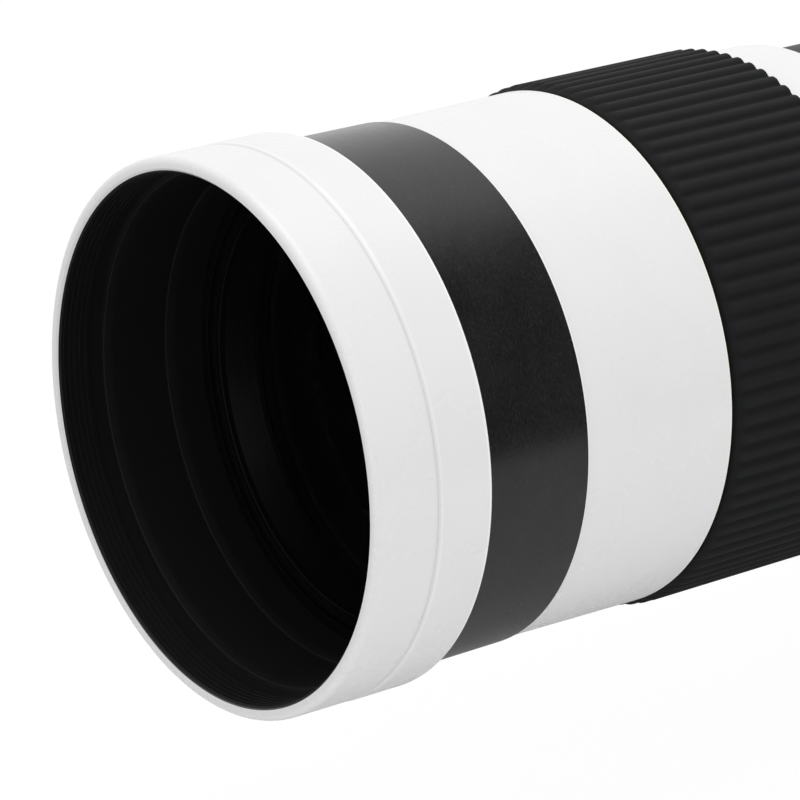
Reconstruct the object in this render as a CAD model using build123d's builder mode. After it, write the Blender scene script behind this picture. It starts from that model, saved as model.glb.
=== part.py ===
from build123d import *
from math import cos, radians, sin, sqrt
import os

# Long camera zoom lens, 420 to 800 mm, with a two-ring focus and zoom drive and a 42 mm T2 mount.
# The optical axis lies along Y. The front rim faces -Y, and +Z is up.
# The origin is the centre of the rear flange face, where a camera adapter seats.
# All lengths are in millimetres. Angles are in degrees, from +Z towards +X about the optical axis.

os.makedirs("parts", exist_ok=True)

# Fits
seat_gap = 0.02
slide_gap = 0.15
running_gap = 0.30
overrun = 2.0

# Radii of the front half, built outward from the front lens
lens_radius = 26.6
cell_wall = 1.4
cell_radius = lens_radius + cell_wall
tube_bore = cell_radius + slide_gap
tube_wall = 1.35
tube_radius = tube_bore + tube_wall
barrel_bore = tube_radius + running_gap
grip_seat_wall = 0.95
grip_seat_radius = barrel_bore + grip_seat_wall
seat_step = 0.2
cell_seat_radius = tube_radius + seat_step
mouth_step = 0.4
mouth_radius = cell_seat_radius + mouth_step
neck_wall = 0.9
filter_thread_radius = mouth_radius + neck_wall
filter_wall = 1.79
filter_ring_radius = filter_thread_radius + filter_wall
collar_rise = 0.08
front_collar_radius = filter_ring_radius + collar_rise
band_front_wall = 0.46
band_rear_wall = 0.38
sleeve_front_rise = 0.15
sleeve_rear_rise = 0.41

# Radii of the rear half, built outward from the zoom tube
guide_bore = tube_radius + slide_gap
guide_wall = 1.2
guide_radius = guide_bore + guide_wall
cam_bore = guide_radius + slide_gap
cam_wall = 1.2
cam_radius = cam_bore + cam_wall
main_bore = cam_radius + running_gap
main_wall = 1.3
main_radius = main_bore + main_wall
zoom_ring_wall = 0.95
zoom_grip_seat_radius = cam_radius + zoom_ring_wall

# Lengths along the axis, from the rear flange forward
flange_length = 6.0
taper_length = 26.0
main_length = 52.0
zoom_ring_length = 44.0
bezel_length = 4.0
exposed_tube_length = 24.3
rear_ring_length = 9.85
focus_grip_length = 26.23
sleeve_length = 21.25
band_length = 14.59
front_collar_length = 7.52
filter_ring_length = 8.26
ring_gap = 0.15

mount_front_y = -flange_length
taper_front_y = mount_front_y - taper_length
main_front_y = taper_front_y - main_length
zoom_ring_front_y = main_front_y - zoom_ring_length
bezel_front_y = zoom_ring_front_y - bezel_length
rear_ring_rear_y = bezel_front_y - exposed_tube_length
grip_rear_y = rear_ring_rear_y - rear_ring_length
grip_front_y = grip_rear_y - focus_grip_length
sleeve_front_y = grip_front_y - sleeve_length
band_front_y = sleeve_front_y - band_length
filter_rear_y = band_front_y - front_collar_length
rim_y = filter_rear_y - filter_ring_length

# Travels of the drives: a quarter turn of the zoom ring, three quarters of a turn of the focus barrel
zoom_turn_angle = 90
zoom_travel = 54.0
variator_travel = 16.0
focus_travel = 9.0


def section(*corners):
    """Half section of a turned piece, from corners given as (radius, station)."""
    with BuildSketch() as outline:
        with BuildLine():
            Polyline(*corners, close=True)
        make_face()
    return outline.sketch


def tube_section(inner, outer, front, rear):
    """Half section of a plain tube."""
    return section((inner, front), (outer, front), (outer, rear), (inner, rear))


def spoke(angle, station, radius=0):
    """Plane square to a radius of the lens; its x direction is the optical axis."""
    outward = Vector(sin(radians(angle)), 0, cos(radians(angle)))
    return Plane(origin=outward * radius + Vector(0, station, 0), x_dir=(0, 1, 0), z_dir=outward)


def spokes(angles, station, radius=0):
    """One such plane for each angle."""
    return [spoke(angle, station, radius) for angle in angles]


def thirds(first=0):
    """Three angles spread evenly round the axis."""
    return [first, first + 120, first + 240]


def sagitta(curve_radius, reach):
    """Depth of a spherical surface at a distance from its axis."""
    return curve_radius - sqrt(curve_radius**2 - reach**2)


def ribbed_outline(valley, crest, count, plane):
    """Ring outline of rounded ribs: one arc over each crest and one through each valley."""
    middle = (valley + crest) / 2
    pitch = 360 / count
    with BuildSketch(plane) as outline:
        with BuildLine():
            for rib in range(count):
                turn = rib * pitch
                start = polar(middle, turn)
                ThreePointArc(start, polar(crest, turn + pitch / 4), polar(middle, turn + pitch / 2))
                ThreePointArc(
                    polar(middle, turn + pitch / 2),
                    polar(valley, turn + pitch * 3 / 4),
                    polar(middle, turn + pitch),
                )
        make_face()
    return outline.sketch


def polar(radius, angle):
    """Point on a circle in the plane of a sketch."""
    return (radius * cos(radians(angle)), radius * sin(radians(angle)))


def helical_slot(angle, station, lead, width):
    """Slot tool through the cam sleeve, winding forward from a follower's place at rest."""
    depth = cam_wall + overrun
    extension = follower_radius + slide_gap
    turn_per_length = zoom_turn_angle / lead
    length = lead + extension * 2
    start = station + extension
    outward = Vector(sin(radians(angle)), 0, cos(radians(angle)))
    face_plane = Plane(origin=(0, start, 0), x_dir=outward, z_dir=(0, -1, 0))
    with BuildSketch(face_plane) as mouth:
        with Locations(((cam_bore + cam_radius) / 2, 0)):
            Rectangle(depth, width)
    slot = Solid.extrude_linear_with_rotation(
        mouth.sketch.face(), center=(0, start, 0), normal=(0, -length, 0), angle=turn_per_length * length
    )
    return slot.rotate(Axis((0, 0, 0), (0, -1, 0)), -turn_per_length * extension)


# Filter ring: the white rim, with the female filter thread in its mouth
rim_round = 0.6
entry_chamfer = 0.5
seam_chamfer = 0.12
filter_thread_length = 4.6
thread_relief = 0.45
neck_engagement = 2.26
mouth_y = filter_rear_y - neck_engagement
thread_rear_y = rim_y + filter_thread_length

with BuildPart() as filter_ring:
    revolve(
        section(
            (filter_thread_radius + entry_chamfer, rim_y),
            (filter_ring_radius, rim_y),
            (filter_ring_radius, filter_rear_y),
            (filter_thread_radius, filter_rear_y),
            (filter_thread_radius, mouth_y),
            (filter_thread_radius + thread_relief, mouth_y),
            (filter_thread_radius + thread_relief, thread_rear_y),
            (filter_thread_radius, thread_rear_y),
            (filter_thread_radius, rim_y + entry_chamfer),
        ),
        axis=Axis.Y,
    )
    outer_edges = filter_ring.edges().filter_by(GeomType.CIRCLE).group_by(SortBy.RADIUS)[-1]
    fillet(outer_edges.sort_by(Axis.Y)[0], radius=rim_round)
    rear_edges = filter_ring.edges().filter_by(GeomType.CIRCLE).group_by(SortBy.RADIUS)[-1]
    chamfer(rear_edges.sort_by(Axis.Y)[-1], length=seam_chamfer)
filter_ring.part.label = "filter_ring"
export_step(filter_ring.part, "parts/filter_ring.step")

# Focus barrel: neck for the front rings, white sleeve, seat of the grip and spigot of the rear ring
seat_depth = 8.65
lock_ring_depth = 5.05
lock_ring_thickness = 1.3
cell_flange_thickness = 1.5
shoulder_thickness = 1.5
helicoid_relief = 0.5
relief_front_margin = 2.1
relief_rear_margin = 0.1
spigot_wall = 0.5
spigot_length = 4.2
seat_front_y = mouth_y + seat_depth
lock_ring_y = seat_front_y + lock_ring_depth
flange_front_y = lock_ring_y + lock_ring_thickness + ring_gap
flange_rear_y = flange_front_y + cell_flange_thickness
shoulder_front_y = flange_rear_y + ring_gap
shoulder_rear_y = shoulder_front_y + shoulder_thickness
shoulder_radius = cell_radius + running_gap
relief_radius = barrel_bore + helicoid_relief
relief_front_y = sleeve_front_y + relief_front_margin
relief_rear_y = grip_front_y - relief_rear_margin
spigot_radius = barrel_bore + spigot_wall
spigot_rear_y = grip_rear_y + spigot_length
neck_radius = filter_thread_radius - seat_gap
sleeve_front_radius = neck_radius + sleeve_front_rise
sleeve_rear_radius = neck_radius + sleeve_rear_rise

with BuildPart() as focus_barrel:
    revolve(
        section(
            (mouth_radius, mouth_y),
            (neck_radius, mouth_y),
            (neck_radius, sleeve_front_y),
            (sleeve_front_radius, sleeve_front_y),
            (sleeve_rear_radius, grip_front_y),
            (grip_seat_radius, grip_front_y),
            (grip_seat_radius, grip_rear_y),
            (spigot_radius, grip_rear_y),
            (spigot_radius, spigot_rear_y),
            (barrel_bore, spigot_rear_y),
            (barrel_bore, relief_rear_y),
            (relief_radius, relief_rear_y),
            (relief_radius, relief_front_y),
            (barrel_bore, relief_front_y),
            (barrel_bore, shoulder_rear_y),
            (shoulder_radius, shoulder_rear_y),
            (shoulder_radius, shoulder_front_y),
            (cell_seat_radius, shoulder_front_y),
            (cell_seat_radius, seat_front_y),
            (mouth_radius, seat_front_y),
        ),
        axis=Axis.Y,
    )
focus_barrel.part.label = "focus_barrel"
export_step(focus_barrel.part, "parts/focus_barrel.step")

# Front collar: the second white ring, screwed over the neck behind the filter ring
collar_round = 0.35
with BuildPart() as front_collar:
    revolve(
        tube_section(neck_radius + seat_gap, front_collar_radius, filter_rear_y + ring_gap, band_front_y),
        axis=Axis.Y,
    )
    outer_edges = front_collar.edges().filter_by(GeomType.CIRCLE).group_by(SortBy.RADIUS)[-1]
    chamfer(outer_edges.sort_by(Axis.Y)[0], length=seam_chamfer)
    outer_edges = front_collar.edges().filter_by(GeomType.CIRCLE).group_by(SortBy.RADIUS)[-1]
    fillet(outer_edges.sort_by(Axis.Y)[-1], radius=collar_round)
front_collar.part.label = "front_collar"
export_step(front_collar.part, "parts/front_collar.step")

# Black trim band between the collar and the white sleeve, a little narrower at its rear
band_bore = neck_radius + seat_gap
with BuildPart() as focus_band:
    revolve(
        section(
            (band_bore, band_front_y + seat_gap),
            (band_bore + band_front_wall, band_front_y + seat_gap),
            (band_bore + band_rear_wall, sleeve_front_y - seat_gap),
            (band_bore, sleeve_front_y - seat_gap),
        ),
        axis=Axis.Y,
    )
focus_band.part.label = "focus_band"
export_step(focus_band.part, "parts/focus_band.step")

# Lock ring that keeps the front cell's flange in the turning barrel
with BuildPart() as cell_lock_ring:
    revolve(
        tube_section(
            shoulder_radius, cell_seat_radius - seat_gap, lock_ring_y, lock_ring_y + lock_ring_thickness
        ),
        axis=Axis.Y,
    )
cell_lock_ring.part.label = "cell_lock_ring"
export_step(cell_lock_ring.part, "parts/cell_lock_ring.step")

# Ribbed rubber sleeves of the focus and zoom rings: a plain lip, then rounded ribs to the rear end
grip_base = 0.87
rib_depth = 0.47
rib_count = 90
grip_lip = 1.0
focus_rib_valley = grip_seat_radius + grip_base
focus_rib_crest = focus_rib_valley + rib_depth
focus_lip_y = grip_front_y + seat_gap + grip_lip

with BuildPart() as focus_grip:
    revolve(
        tube_section(
            grip_seat_radius + seat_gap, focus_rib_valley, grip_front_y + seat_gap, grip_rear_y - seat_gap
        ),
        axis=Axis.Y,
    )
    rib_plane = Plane(origin=(0, grip_rear_y - seat_gap, 0), x_dir=(0, 0, 1), z_dir=(0, -1, 0))
    extrude(
        ribbed_outline(focus_rib_valley, focus_rib_crest, rib_count, rib_plane),
        amount=grip_rear_y - seat_gap - focus_lip_y,
    )
    with BuildSketch(rib_plane):
        Circle(grip_seat_radius + seat_gap)
    extrude(amount=focus_grip_length, mode=Mode.SUBTRACT)
focus_grip.part.label = "focus_grip"
export_step(focus_grip.part, "parts/focus_grip.step")

# White ring behind the grip, screwed on the barrel's spigot, and the felt that wipes the zoom tube
rear_ring_wall = 0.57
felt_length = 1.5
felt_gap = 0.1
rear_ring_radius = spigot_radius + seat_gap + rear_ring_wall
felt_rear_y = spigot_rear_y + felt_length
rear_ring_round = 0.3

with BuildPart() as grip_rear_ring:
    revolve(
        section(
            (spigot_radius + seat_gap, grip_rear_y),
            (rear_ring_radius, grip_rear_y),
            (rear_ring_radius, rear_ring_rear_y),
            (barrel_bore, rear_ring_rear_y),
            (barrel_bore, felt_rear_y),
            (spigot_radius + seat_gap, felt_rear_y),
        ),
        axis=Axis.Y,
    )
    outer_edges = grip_rear_ring.edges().filter_by(GeomType.CIRCLE).group_by(SortBy.RADIUS)[-1]
    fillet(outer_edges.sort_by(Axis.Y)[-1], radius=rear_ring_round)
grip_rear_ring.part.label = "grip_rear_ring"
export_step(grip_rear_ring.part, "parts/grip_rear_ring.step")

with BuildPart() as barrel_felt:
    revolve(
        tube_section(tube_radius + felt_gap, spigot_radius, spigot_rear_y + seat_gap, felt_rear_y - seat_gap),
        axis=Axis.Y,
    )
barrel_felt.part.label = "barrel_felt"
export_step(barrel_felt.part, "parts/barrel_felt.step")

# Front lens group: two air-spaced elements in a cell that slides but doesn't turn
cell_front_step = 0.3
retainer_length = 5.26
retainer_wall = 0.6
retainer_front_lip = 0.3
retainer_rear_lip = 1.33
crown_front_curve_radius = 125.0
crown_rear_curve_radius = 110.0
crown_thickness = 9.5
spacer_thickness = 1.2
spacer_width = 1.0
flint_front_curve_radius = 112.0
flint_thickness = 4.0
cell_tail_length = 8.4
cell_lip = 1.3
cell_front_y = lock_ring_y + cell_front_step
retainer_radius = lens_radius + retainer_wall
retainer_rear_y = cell_front_y + retainer_length
retainer_front_bore = lens_radius - retainer_front_lip
retainer_rear_bore = lens_radius - retainer_rear_lip
crown_front_y = retainer_rear_y + seat_gap - sagitta(crown_front_curve_radius, retainer_rear_bore)
crown_rear_y = crown_front_y + crown_thickness
spacer_bore = lens_radius - spacer_width
spacer_front_y = crown_rear_y - sagitta(crown_rear_curve_radius, spacer_bore) + seat_gap
spacer_rear_y = spacer_front_y + spacer_thickness
flint_front_y = spacer_rear_y + sagitta(flint_front_curve_radius, lens_radius) + seat_gap
flint_rear_y = flint_front_y + flint_thickness
lens_seat_y = flint_rear_y + seat_gap
cell_rear_y = lens_seat_y + cell_tail_length

with BuildPart() as front_cell:
    revolve(
        section(
            (retainer_radius + seat_gap, cell_front_y),
            (cell_radius, cell_front_y),
            (cell_radius, flange_front_y),
            (cell_seat_radius - slide_gap, flange_front_y),
            (cell_seat_radius - slide_gap, flange_rear_y),
            (cell_radius, flange_rear_y),
            (cell_radius, cell_rear_y),
            (lens_radius - cell_lip, cell_rear_y),
            (lens_radius - cell_lip, lens_seat_y),
            (lens_radius + seat_gap, lens_seat_y),
            (lens_radius + seat_gap, retainer_rear_y),
            (retainer_radius + seat_gap, retainer_rear_y),
        ),
        axis=Axis.Y,
    )
    key_width = 5.0
    key_length = 6.0
    key_margin = 1.4
    key_angles = [90, 270]
    key_y = cell_rear_y - key_margin - key_length / 2
    key_screw_radius = 0.8
    key_screw_depth = 1.1
    with BuildSketch(*spokes(key_angles, key_y, cell_radius - key_screw_depth)):
        Circle(key_screw_radius + seat_gap)
    extrude(amount=key_screw_depth + overrun, mode=Mode.SUBTRACT)
front_cell.part.label = "front_cell"
export_step(front_cell.part, "parts/front_cell.step")

with BuildPart() as front_retainer:
    revolve(
        section(
            (retainer_front_bore, cell_front_y),
            (retainer_radius, cell_front_y),
            (retainer_radius, retainer_rear_y - seat_gap),
            (retainer_rear_bore, retainer_rear_y - seat_gap),
        ),
        axis=Axis.Y,
    )
front_retainer.part.label = "front_retainer"
export_step(front_retainer.part, "parts/front_retainer.step")

with BuildPart() as crown_lens:
    crown_front_edge_y = crown_front_y + sagitta(crown_front_curve_radius, lens_radius)
    crown_rear_edge_y = crown_rear_y - sagitta(crown_rear_curve_radius, lens_radius)
    with BuildSketch():
        with BuildLine():
            RadiusArc((0, crown_front_y), (lens_radius, crown_front_edge_y), -crown_front_curve_radius)
            Line((lens_radius, crown_front_edge_y), (lens_radius, crown_rear_edge_y))
            RadiusArc((lens_radius, crown_rear_edge_y), (0, crown_rear_y), -crown_rear_curve_radius)
            Line((0, crown_rear_y), (0, crown_front_y))
        make_face()
    revolve(axis=Axis.Y)
crown_lens.part.label = "crown_lens"
export_step(crown_lens.part, "parts/crown_lens.step")

with BuildPart() as lens_spacer:
    revolve(tube_section(spacer_bore, lens_radius, spacer_front_y, spacer_rear_y), axis=Axis.Y)
lens_spacer.part.label = "lens_spacer"
export_step(lens_spacer.part, "parts/lens_spacer.step")

with BuildPart() as flint_lens:
    flint_front_edge_y = flint_front_y - sagitta(flint_front_curve_radius, lens_radius)
    with BuildSketch():
        with BuildLine():
            RadiusArc((0, flint_front_y), (lens_radius, flint_front_edge_y), flint_front_curve_radius)
            Line((lens_radius, flint_front_edge_y), (lens_radius, flint_rear_y))
            Line((lens_radius, flint_rear_y), (0, flint_rear_y))
            Line((0, flint_rear_y), (0, flint_front_y))
        make_face()
    revolve(axis=Axis.Y)
flint_lens.part.label = "flint_lens"
export_step(flint_lens.part, "parts/flint_lens.step")

# Two brass keys on the cell run in slots of the zoom tube and stop it from turning
with BuildPart() as focus_keys:
    revolve(
        tube_section(
            cell_radius + seat_gap,
            tube_radius - seat_gap,
            key_y - key_length / 2,
            key_y + key_length / 2,
        ),
        axis=Axis.Y,
    )
    with BuildSketch(*spokes(key_angles, key_y)):
        Rectangle(key_length, key_width)
    extrude(amount=tube_radius + overrun, mode=Mode.INTERSECT)
    with BuildSketch(*spokes(key_angles, key_y)):
        Circle(key_screw_radius + seat_gap)
    extrude(amount=tube_radius + overrun, mode=Mode.SUBTRACT)
focus_keys.part.label = "focus_keys"
export_step(focus_keys.part, "parts/focus_keys.step")

with BuildPart() as key_screws:
    with BuildSketch(*spokes(key_angles, key_y, cell_radius - key_screw_depth + seat_gap)):
        Circle(key_screw_radius)
    extrude(amount=key_screw_depth + tube_wall - slide_gap)
key_screws.part.label = "key_screws"
export_step(key_screws.part, "parts/key_screws.step")

# Zoom tube: the black sliding tube seen behind the front unit
tube_front_gap = 0.7
variator_gap = 5.0
variator_length = 10.0
guide_flange_thickness = 2.0
rear_spigot_length = 2.5
flange_clearance = 2.5
follower_radius = 1.6
follower_margin = 4.0
guide_flange_rear_y = taper_front_y - rear_spigot_length
guide_flange_front_y = guide_flange_rear_y - guide_flange_thickness
variator_rear_y = guide_flange_front_y - flange_clearance
variator_front_y = variator_rear_y - variator_length
tube_front_y = shoulder_rear_y + tube_front_gap
tube_rear_y = variator_front_y - variator_gap
zoom_follower_y = tube_rear_y - follower_margin
variator_follower_y = (variator_front_y + variator_rear_y) / 2
variator_follower_angle = 30
key_slot_length = key_length + focus_travel + running_gap * 2

with BuildPart() as zoom_tube:
    revolve(tube_section(tube_bore, tube_radius, tube_front_y, tube_rear_y), axis=Axis.Y)
    with BuildSketch(*spokes(key_angles, key_y - focus_travel / 2)):
        Rectangle(key_slot_length, key_width + slide_gap * 2)
    extrude(amount=tube_radius + overrun, mode=Mode.SUBTRACT)
    with BuildSketch(*spokes(thirds(), zoom_follower_y)):
        Circle(follower_radius + seat_gap)
    extrude(amount=tube_radius + overrun, mode=Mode.SUBTRACT)
zoom_tube.part.label = "zoom_tube"
export_step(zoom_tube.part, "parts/zoom_tube.step")

# Brass helicoid ring on the zoom tube, on which the focus barrel screws forward
helicoid_length = 8.0
helicoid_margin = 1.6
helicoid_front_y = relief_front_y + helicoid_margin
with BuildPart() as helicoid_ring:
    revolve(
        tube_section(
            tube_radius + seat_gap,
            relief_radius - slide_gap,
            helicoid_front_y,
            helicoid_front_y + helicoid_length,
        ),
        axis=Axis.Y,
    )
helicoid_ring.part.label = "helicoid_ring"
export_step(helicoid_ring.part, "parts/helicoid_ring.step")

# Diaphragm in the zoom tube that keeps stray light off its wall
baffle_thickness = 0.8
baffle_reach = 6.15
baffle_y = grip_rear_y
with BuildPart() as tube_baffle:
    revolve(
        tube_section(
            tube_bore - baffle_reach, tube_bore - seat_gap, baffle_y, baffle_y + baffle_thickness
        ),
        axis=Axis.Y,
    )
tube_baffle.part.label = "tube_baffle"
export_step(tube_baffle.part, "parts/tube_baffle.step")

# Three brass followers carry the zoom tube along the guide slots and the cam slots
follower_sink = 1.1
with BuildPart() as zoom_followers:
    with BuildSketch(*spokes(thirds(), zoom_follower_y, tube_radius - follower_sink)):
        Circle(follower_radius)
    extrude(amount=follower_sink + cam_radius - slide_gap - tube_radius)
zoom_followers.part.label = "zoom_followers"
export_step(zoom_followers.part, "parts/zoom_followers.step")

# Guide tube: fixed inner tube with straight slots, open at the front, flanged at the rear
bezel_lip = 1.2
felt_seat_depth = 0.6
felt_seat_length = 2.0
guide_front_y = bezel_front_y + bezel_lip
slot_end = follower_radius + slide_gap * 2
with BuildPart() as guide_tube:
    revolve(
        section(
            (guide_bore + felt_seat_depth, guide_front_y),
            (guide_radius, guide_front_y),
            (guide_radius, guide_flange_front_y),
            (main_bore - seat_gap, guide_flange_front_y),
            (main_bore - seat_gap, guide_flange_rear_y),
            (guide_bore, guide_flange_rear_y),
            (guide_bore, guide_front_y + felt_seat_length),
            (guide_bore + felt_seat_depth, guide_front_y + felt_seat_length),
        ),
        axis=Axis.Y,
    )
    with BuildSketch(*spokes(thirds(), zoom_follower_y - zoom_travel / 2)):
        SlotOverall(zoom_travel + slot_end * 2, (follower_radius + slide_gap) * 2)
    extrude(amount=guide_radius + overrun, mode=Mode.SUBTRACT)
    with BuildSketch(*spokes(thirds(variator_follower_angle), variator_follower_y - variator_travel / 2)):
        SlotOverall(variator_travel + slot_end * 2, (follower_radius + slide_gap) * 2)
    extrude(amount=guide_radius + overrun, mode=Mode.SUBTRACT)
guide_tube.part.label = "guide_tube"
export_step(guide_tube.part, "parts/guide_tube.step")

with BuildPart() as tube_felt:
    revolve(
        tube_section(
            tube_radius + felt_gap,
            guide_bore + felt_seat_depth - seat_gap,
            guide_front_y + seat_gap,
            guide_front_y + felt_seat_length - seat_gap,
        ),
        axis=Axis.Y,
    )
tube_felt.part.label = "tube_felt"
export_step(tube_felt.part, "parts/tube_felt.step")

# Cam sleeve, turned by the zoom ring: steep slots drive the tube, shallow slots the variator
cam_front_margin = 4.0
cam_front_y = zoom_ring_front_y + cam_front_margin
cam_rear_y = guide_flange_front_y - cam_front_margin / 4
zoom_slot_width = 5.0
variator_slot_width = 11.0
cam_screw_radius = 1.0
cam_screw_depth = 0.9
cam_screw_y = zoom_ring_front_y + zoom_ring_length / 2
cam_screw_angle = 75

with BuildPart() as zoom_cam:
    revolve(tube_section(cam_bore, cam_radius, cam_front_y, cam_rear_y), axis=Axis.Y)
    for angle in thirds():
        add(helical_slot(angle, zoom_follower_y, zoom_travel, zoom_slot_width), mode=Mode.SUBTRACT)
    for angle in thirds(variator_follower_angle):
        add(
            helical_slot(angle, variator_follower_y, variator_travel, variator_slot_width),
            mode=Mode.SUBTRACT,
        )
    with BuildSketch(*spokes(thirds(cam_screw_angle), cam_screw_y, cam_radius - cam_screw_depth)):
        Circle(cam_screw_radius + seat_gap)
    extrude(amount=cam_screw_depth + overrun, mode=Mode.SUBTRACT)
zoom_cam.part.label = "zoom_cam"
export_step(zoom_cam.part, "parts/zoom_cam.step")

# Zoom ring: white lips before and behind the second ribbed grip
zoom_front_lip = 6.0
zoom_rear_lip = 11.0
lip_round = 0.4
zoom_front_y = zoom_ring_front_y + ring_gap
zoom_rear_y = main_front_y - ring_gap
zoom_grip_front_y = zoom_front_y + zoom_front_lip
zoom_grip_rear_y = zoom_rear_y - zoom_rear_lip
with BuildPart() as zoom_ring:
    revolve(
        section(
            (cam_radius + seat_gap, zoom_front_y),
            (main_radius, zoom_front_y),
            (main_radius, zoom_grip_front_y),
            (zoom_grip_seat_radius, zoom_grip_front_y),
            (zoom_grip_seat_radius, zoom_grip_rear_y),
            (main_radius, zoom_grip_rear_y),
            (main_radius, zoom_rear_y),
            (cam_radius + seat_gap, zoom_rear_y),
        ),
        axis=Axis.Y,
    )
    outer_edges = zoom_ring.edges().filter_by(GeomType.CIRCLE).group_by(SortBy.RADIUS)[-1]
    fillet([outer_edges.sort_by(Axis.Y)[0], outer_edges.sort_by(Axis.Y)[-1]], radius=lip_round)
    with BuildSketch(*spokes(thirds(cam_screw_angle), cam_screw_y)):
        Circle(cam_screw_radius + seat_gap)
    extrude(amount=main_radius + overrun, mode=Mode.SUBTRACT)
zoom_ring.part.label = "zoom_ring"
export_step(zoom_ring.part, "parts/zoom_ring.step")

with BuildPart() as cam_screws:
    with BuildSketch(*spokes(thirds(cam_screw_angle), cam_screw_y, cam_radius - cam_screw_depth + seat_gap)):
        Circle(cam_screw_radius)
    extrude(amount=cam_screw_depth + zoom_ring_wall - seat_gap * 2)
cam_screws.part.label = "cam_screws"
export_step(cam_screws.part, "parts/cam_screws.step")

zoom_rib_valley = zoom_grip_seat_radius + grip_base
zoom_rib_crest = zoom_rib_valley + rib_depth
zoom_lip_y = zoom_grip_front_y + seat_gap + grip_lip
with BuildPart() as zoom_grip:
    revolve(
        tube_section(
            zoom_grip_seat_radius + seat_gap,
            zoom_rib_valley,
            zoom_grip_front_y + seat_gap,
            zoom_grip_rear_y - seat_gap,
        ),
        axis=Axis.Y,
    )
    rib_plane = Plane(origin=(0, zoom_grip_rear_y - seat_gap, 0), x_dir=(0, 0, 1), z_dir=(0, -1, 0))
    extrude(
        ribbed_outline(zoom_rib_valley, zoom_rib_crest, rib_count, rib_plane),
        amount=zoom_grip_rear_y - seat_gap - zoom_lip_y,
    )
    with BuildSketch(rib_plane):
        Circle(zoom_grip_seat_radius + seat_gap)
    extrude(amount=zoom_ring_length, mode=Mode.SUBTRACT)
zoom_grip.part.label = "zoom_grip"
export_step(zoom_grip.part, "parts/zoom_grip.step")

# Front bezel: black ring on the guide tube that keeps the zoom ring in place
bezel_step = 0.4
bezel_chamfer = 0.8
with BuildPart() as front_bezel:
    revolve(
        section(
            (barrel_bore, bezel_front_y),
            (main_radius - bezel_step, bezel_front_y),
            (main_radius - bezel_step, zoom_ring_front_y),
            (guide_radius + seat_gap, zoom_ring_front_y),
            (guide_radius + seat_gap, guide_front_y - seat_gap),
            (barrel_bore, guide_front_y - seat_gap),
        ),
        axis=Axis.Y,
    )
    outer_edges = front_bezel.edges().filter_by(GeomType.CIRCLE).group_by(SortBy.RADIUS)[-1]
    chamfer(outer_edges.sort_by(Axis.Y)[0], length=bezel_chamfer)
front_bezel.part.label = "front_bezel"
export_step(front_bezel.part, "parts/front_bezel.step")

# Main barrel: fixed white body with a groove for the tripod collar
collar_margin = 4.0
collar_width = 20.0
groove_depth = 0.5
barrel_screw_radius = 1.0
barrel_screw_sink = 0.2
barrel_screw_y = taper_front_y - rear_spigot_length / 2
groove_front_y = main_front_y + collar_margin
groove_rear_y = groove_front_y + collar_width
groove_radius = main_radius - groove_depth
index_radius = 1.0
index_depth = 0.7
index_y = main_front_y + collar_margin / 2
with BuildPart() as main_barrel:
    revolve(
        section(
            (main_bore, main_front_y),
            (main_radius, main_front_y),
            (main_radius, groove_front_y),
            (groove_radius, groove_front_y),
            (groove_radius, groove_rear_y),
            (main_radius, groove_rear_y),
            (main_radius, taper_front_y),
            (main_bore, taper_front_y),
        ),
        axis=Axis.Y,
    )
    outer_edges = main_barrel.edges().filter_by(GeomType.CIRCLE).group_by(SortBy.RADIUS)[-1]
    fillet(outer_edges.sort_by(Axis.Y)[0], radius=lip_round)
    with BuildSketch(*spokes(thirds(), barrel_screw_y)):
        Circle(barrel_screw_radius + seat_gap)
    extrude(amount=main_radius + overrun, mode=Mode.SUBTRACT)
    with BuildSketch(spoke(0, index_y, main_radius - index_depth)):
        Circle(index_radius + seat_gap)
    extrude(amount=index_depth + overrun, mode=Mode.SUBTRACT)
main_barrel.part.label = "main_barrel"
export_step(main_barrel.part, "parts/main_barrel.step")

with BuildPart() as zoom_index:
    with BuildSketch(spoke(0, index_y, main_radius - index_depth + seat_gap)):
        Circle(index_radius)
    extrude(amount=index_depth)
zoom_index.part.label = "zoom_index"
export_step(zoom_index.part, "parts/zoom_index.step")

# Rear barrel: white cone from the main barrel down to the mount
t2_radius = 21.0
mount_seat_wall = 3.0
tail_wall = 3.5
rear_wall = 2.5
taper_land = 3.0
tail_length = 5.0
mount_seat_radius = t2_radius + mount_seat_wall
tail_radius = mount_seat_radius + tail_wall
rear_bore = main_radius - rear_wall
tail_front_y = mount_front_y - tail_length
rear_spigot_radius = main_bore - seat_gap
mount_screw_radius = 1.25
mount_screw_angle = 60
mount_screw_depth = 1.5
mount_screw_floor = mount_seat_radius - mount_screw_depth
mount_screw_y = mount_front_y - tail_length / 2
with BuildPart() as rear_barrel:
    revolve(
        section(
            (rear_bore, guide_flange_rear_y + seat_gap),
            (rear_spigot_radius, guide_flange_rear_y + seat_gap),
            (rear_spigot_radius, taper_front_y),
            (main_radius, taper_front_y),
            (main_radius, taper_front_y + taper_land),
            (tail_radius, tail_front_y + taper_land),
            (tail_radius, mount_front_y),
            (mount_seat_radius, mount_front_y),
            (mount_seat_radius, tail_front_y),
            (rear_bore, taper_front_y + taper_land),
        ),
        axis=Axis.Y,
    )
    with BuildSketch(*spokes(thirds(), barrel_screw_y)):
        Circle(barrel_screw_radius + seat_gap)
    extrude(amount=main_radius + overrun, mode=Mode.SUBTRACT)
    with BuildSketch(*spokes(thirds(mount_screw_angle), mount_screw_y)):
        Circle(mount_screw_radius + seat_gap)
    extrude(amount=main_radius + overrun, mode=Mode.SUBTRACT)
rear_barrel.part.label = "rear_barrel"
export_step(rear_barrel.part, "parts/rear_barrel.step")

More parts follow.
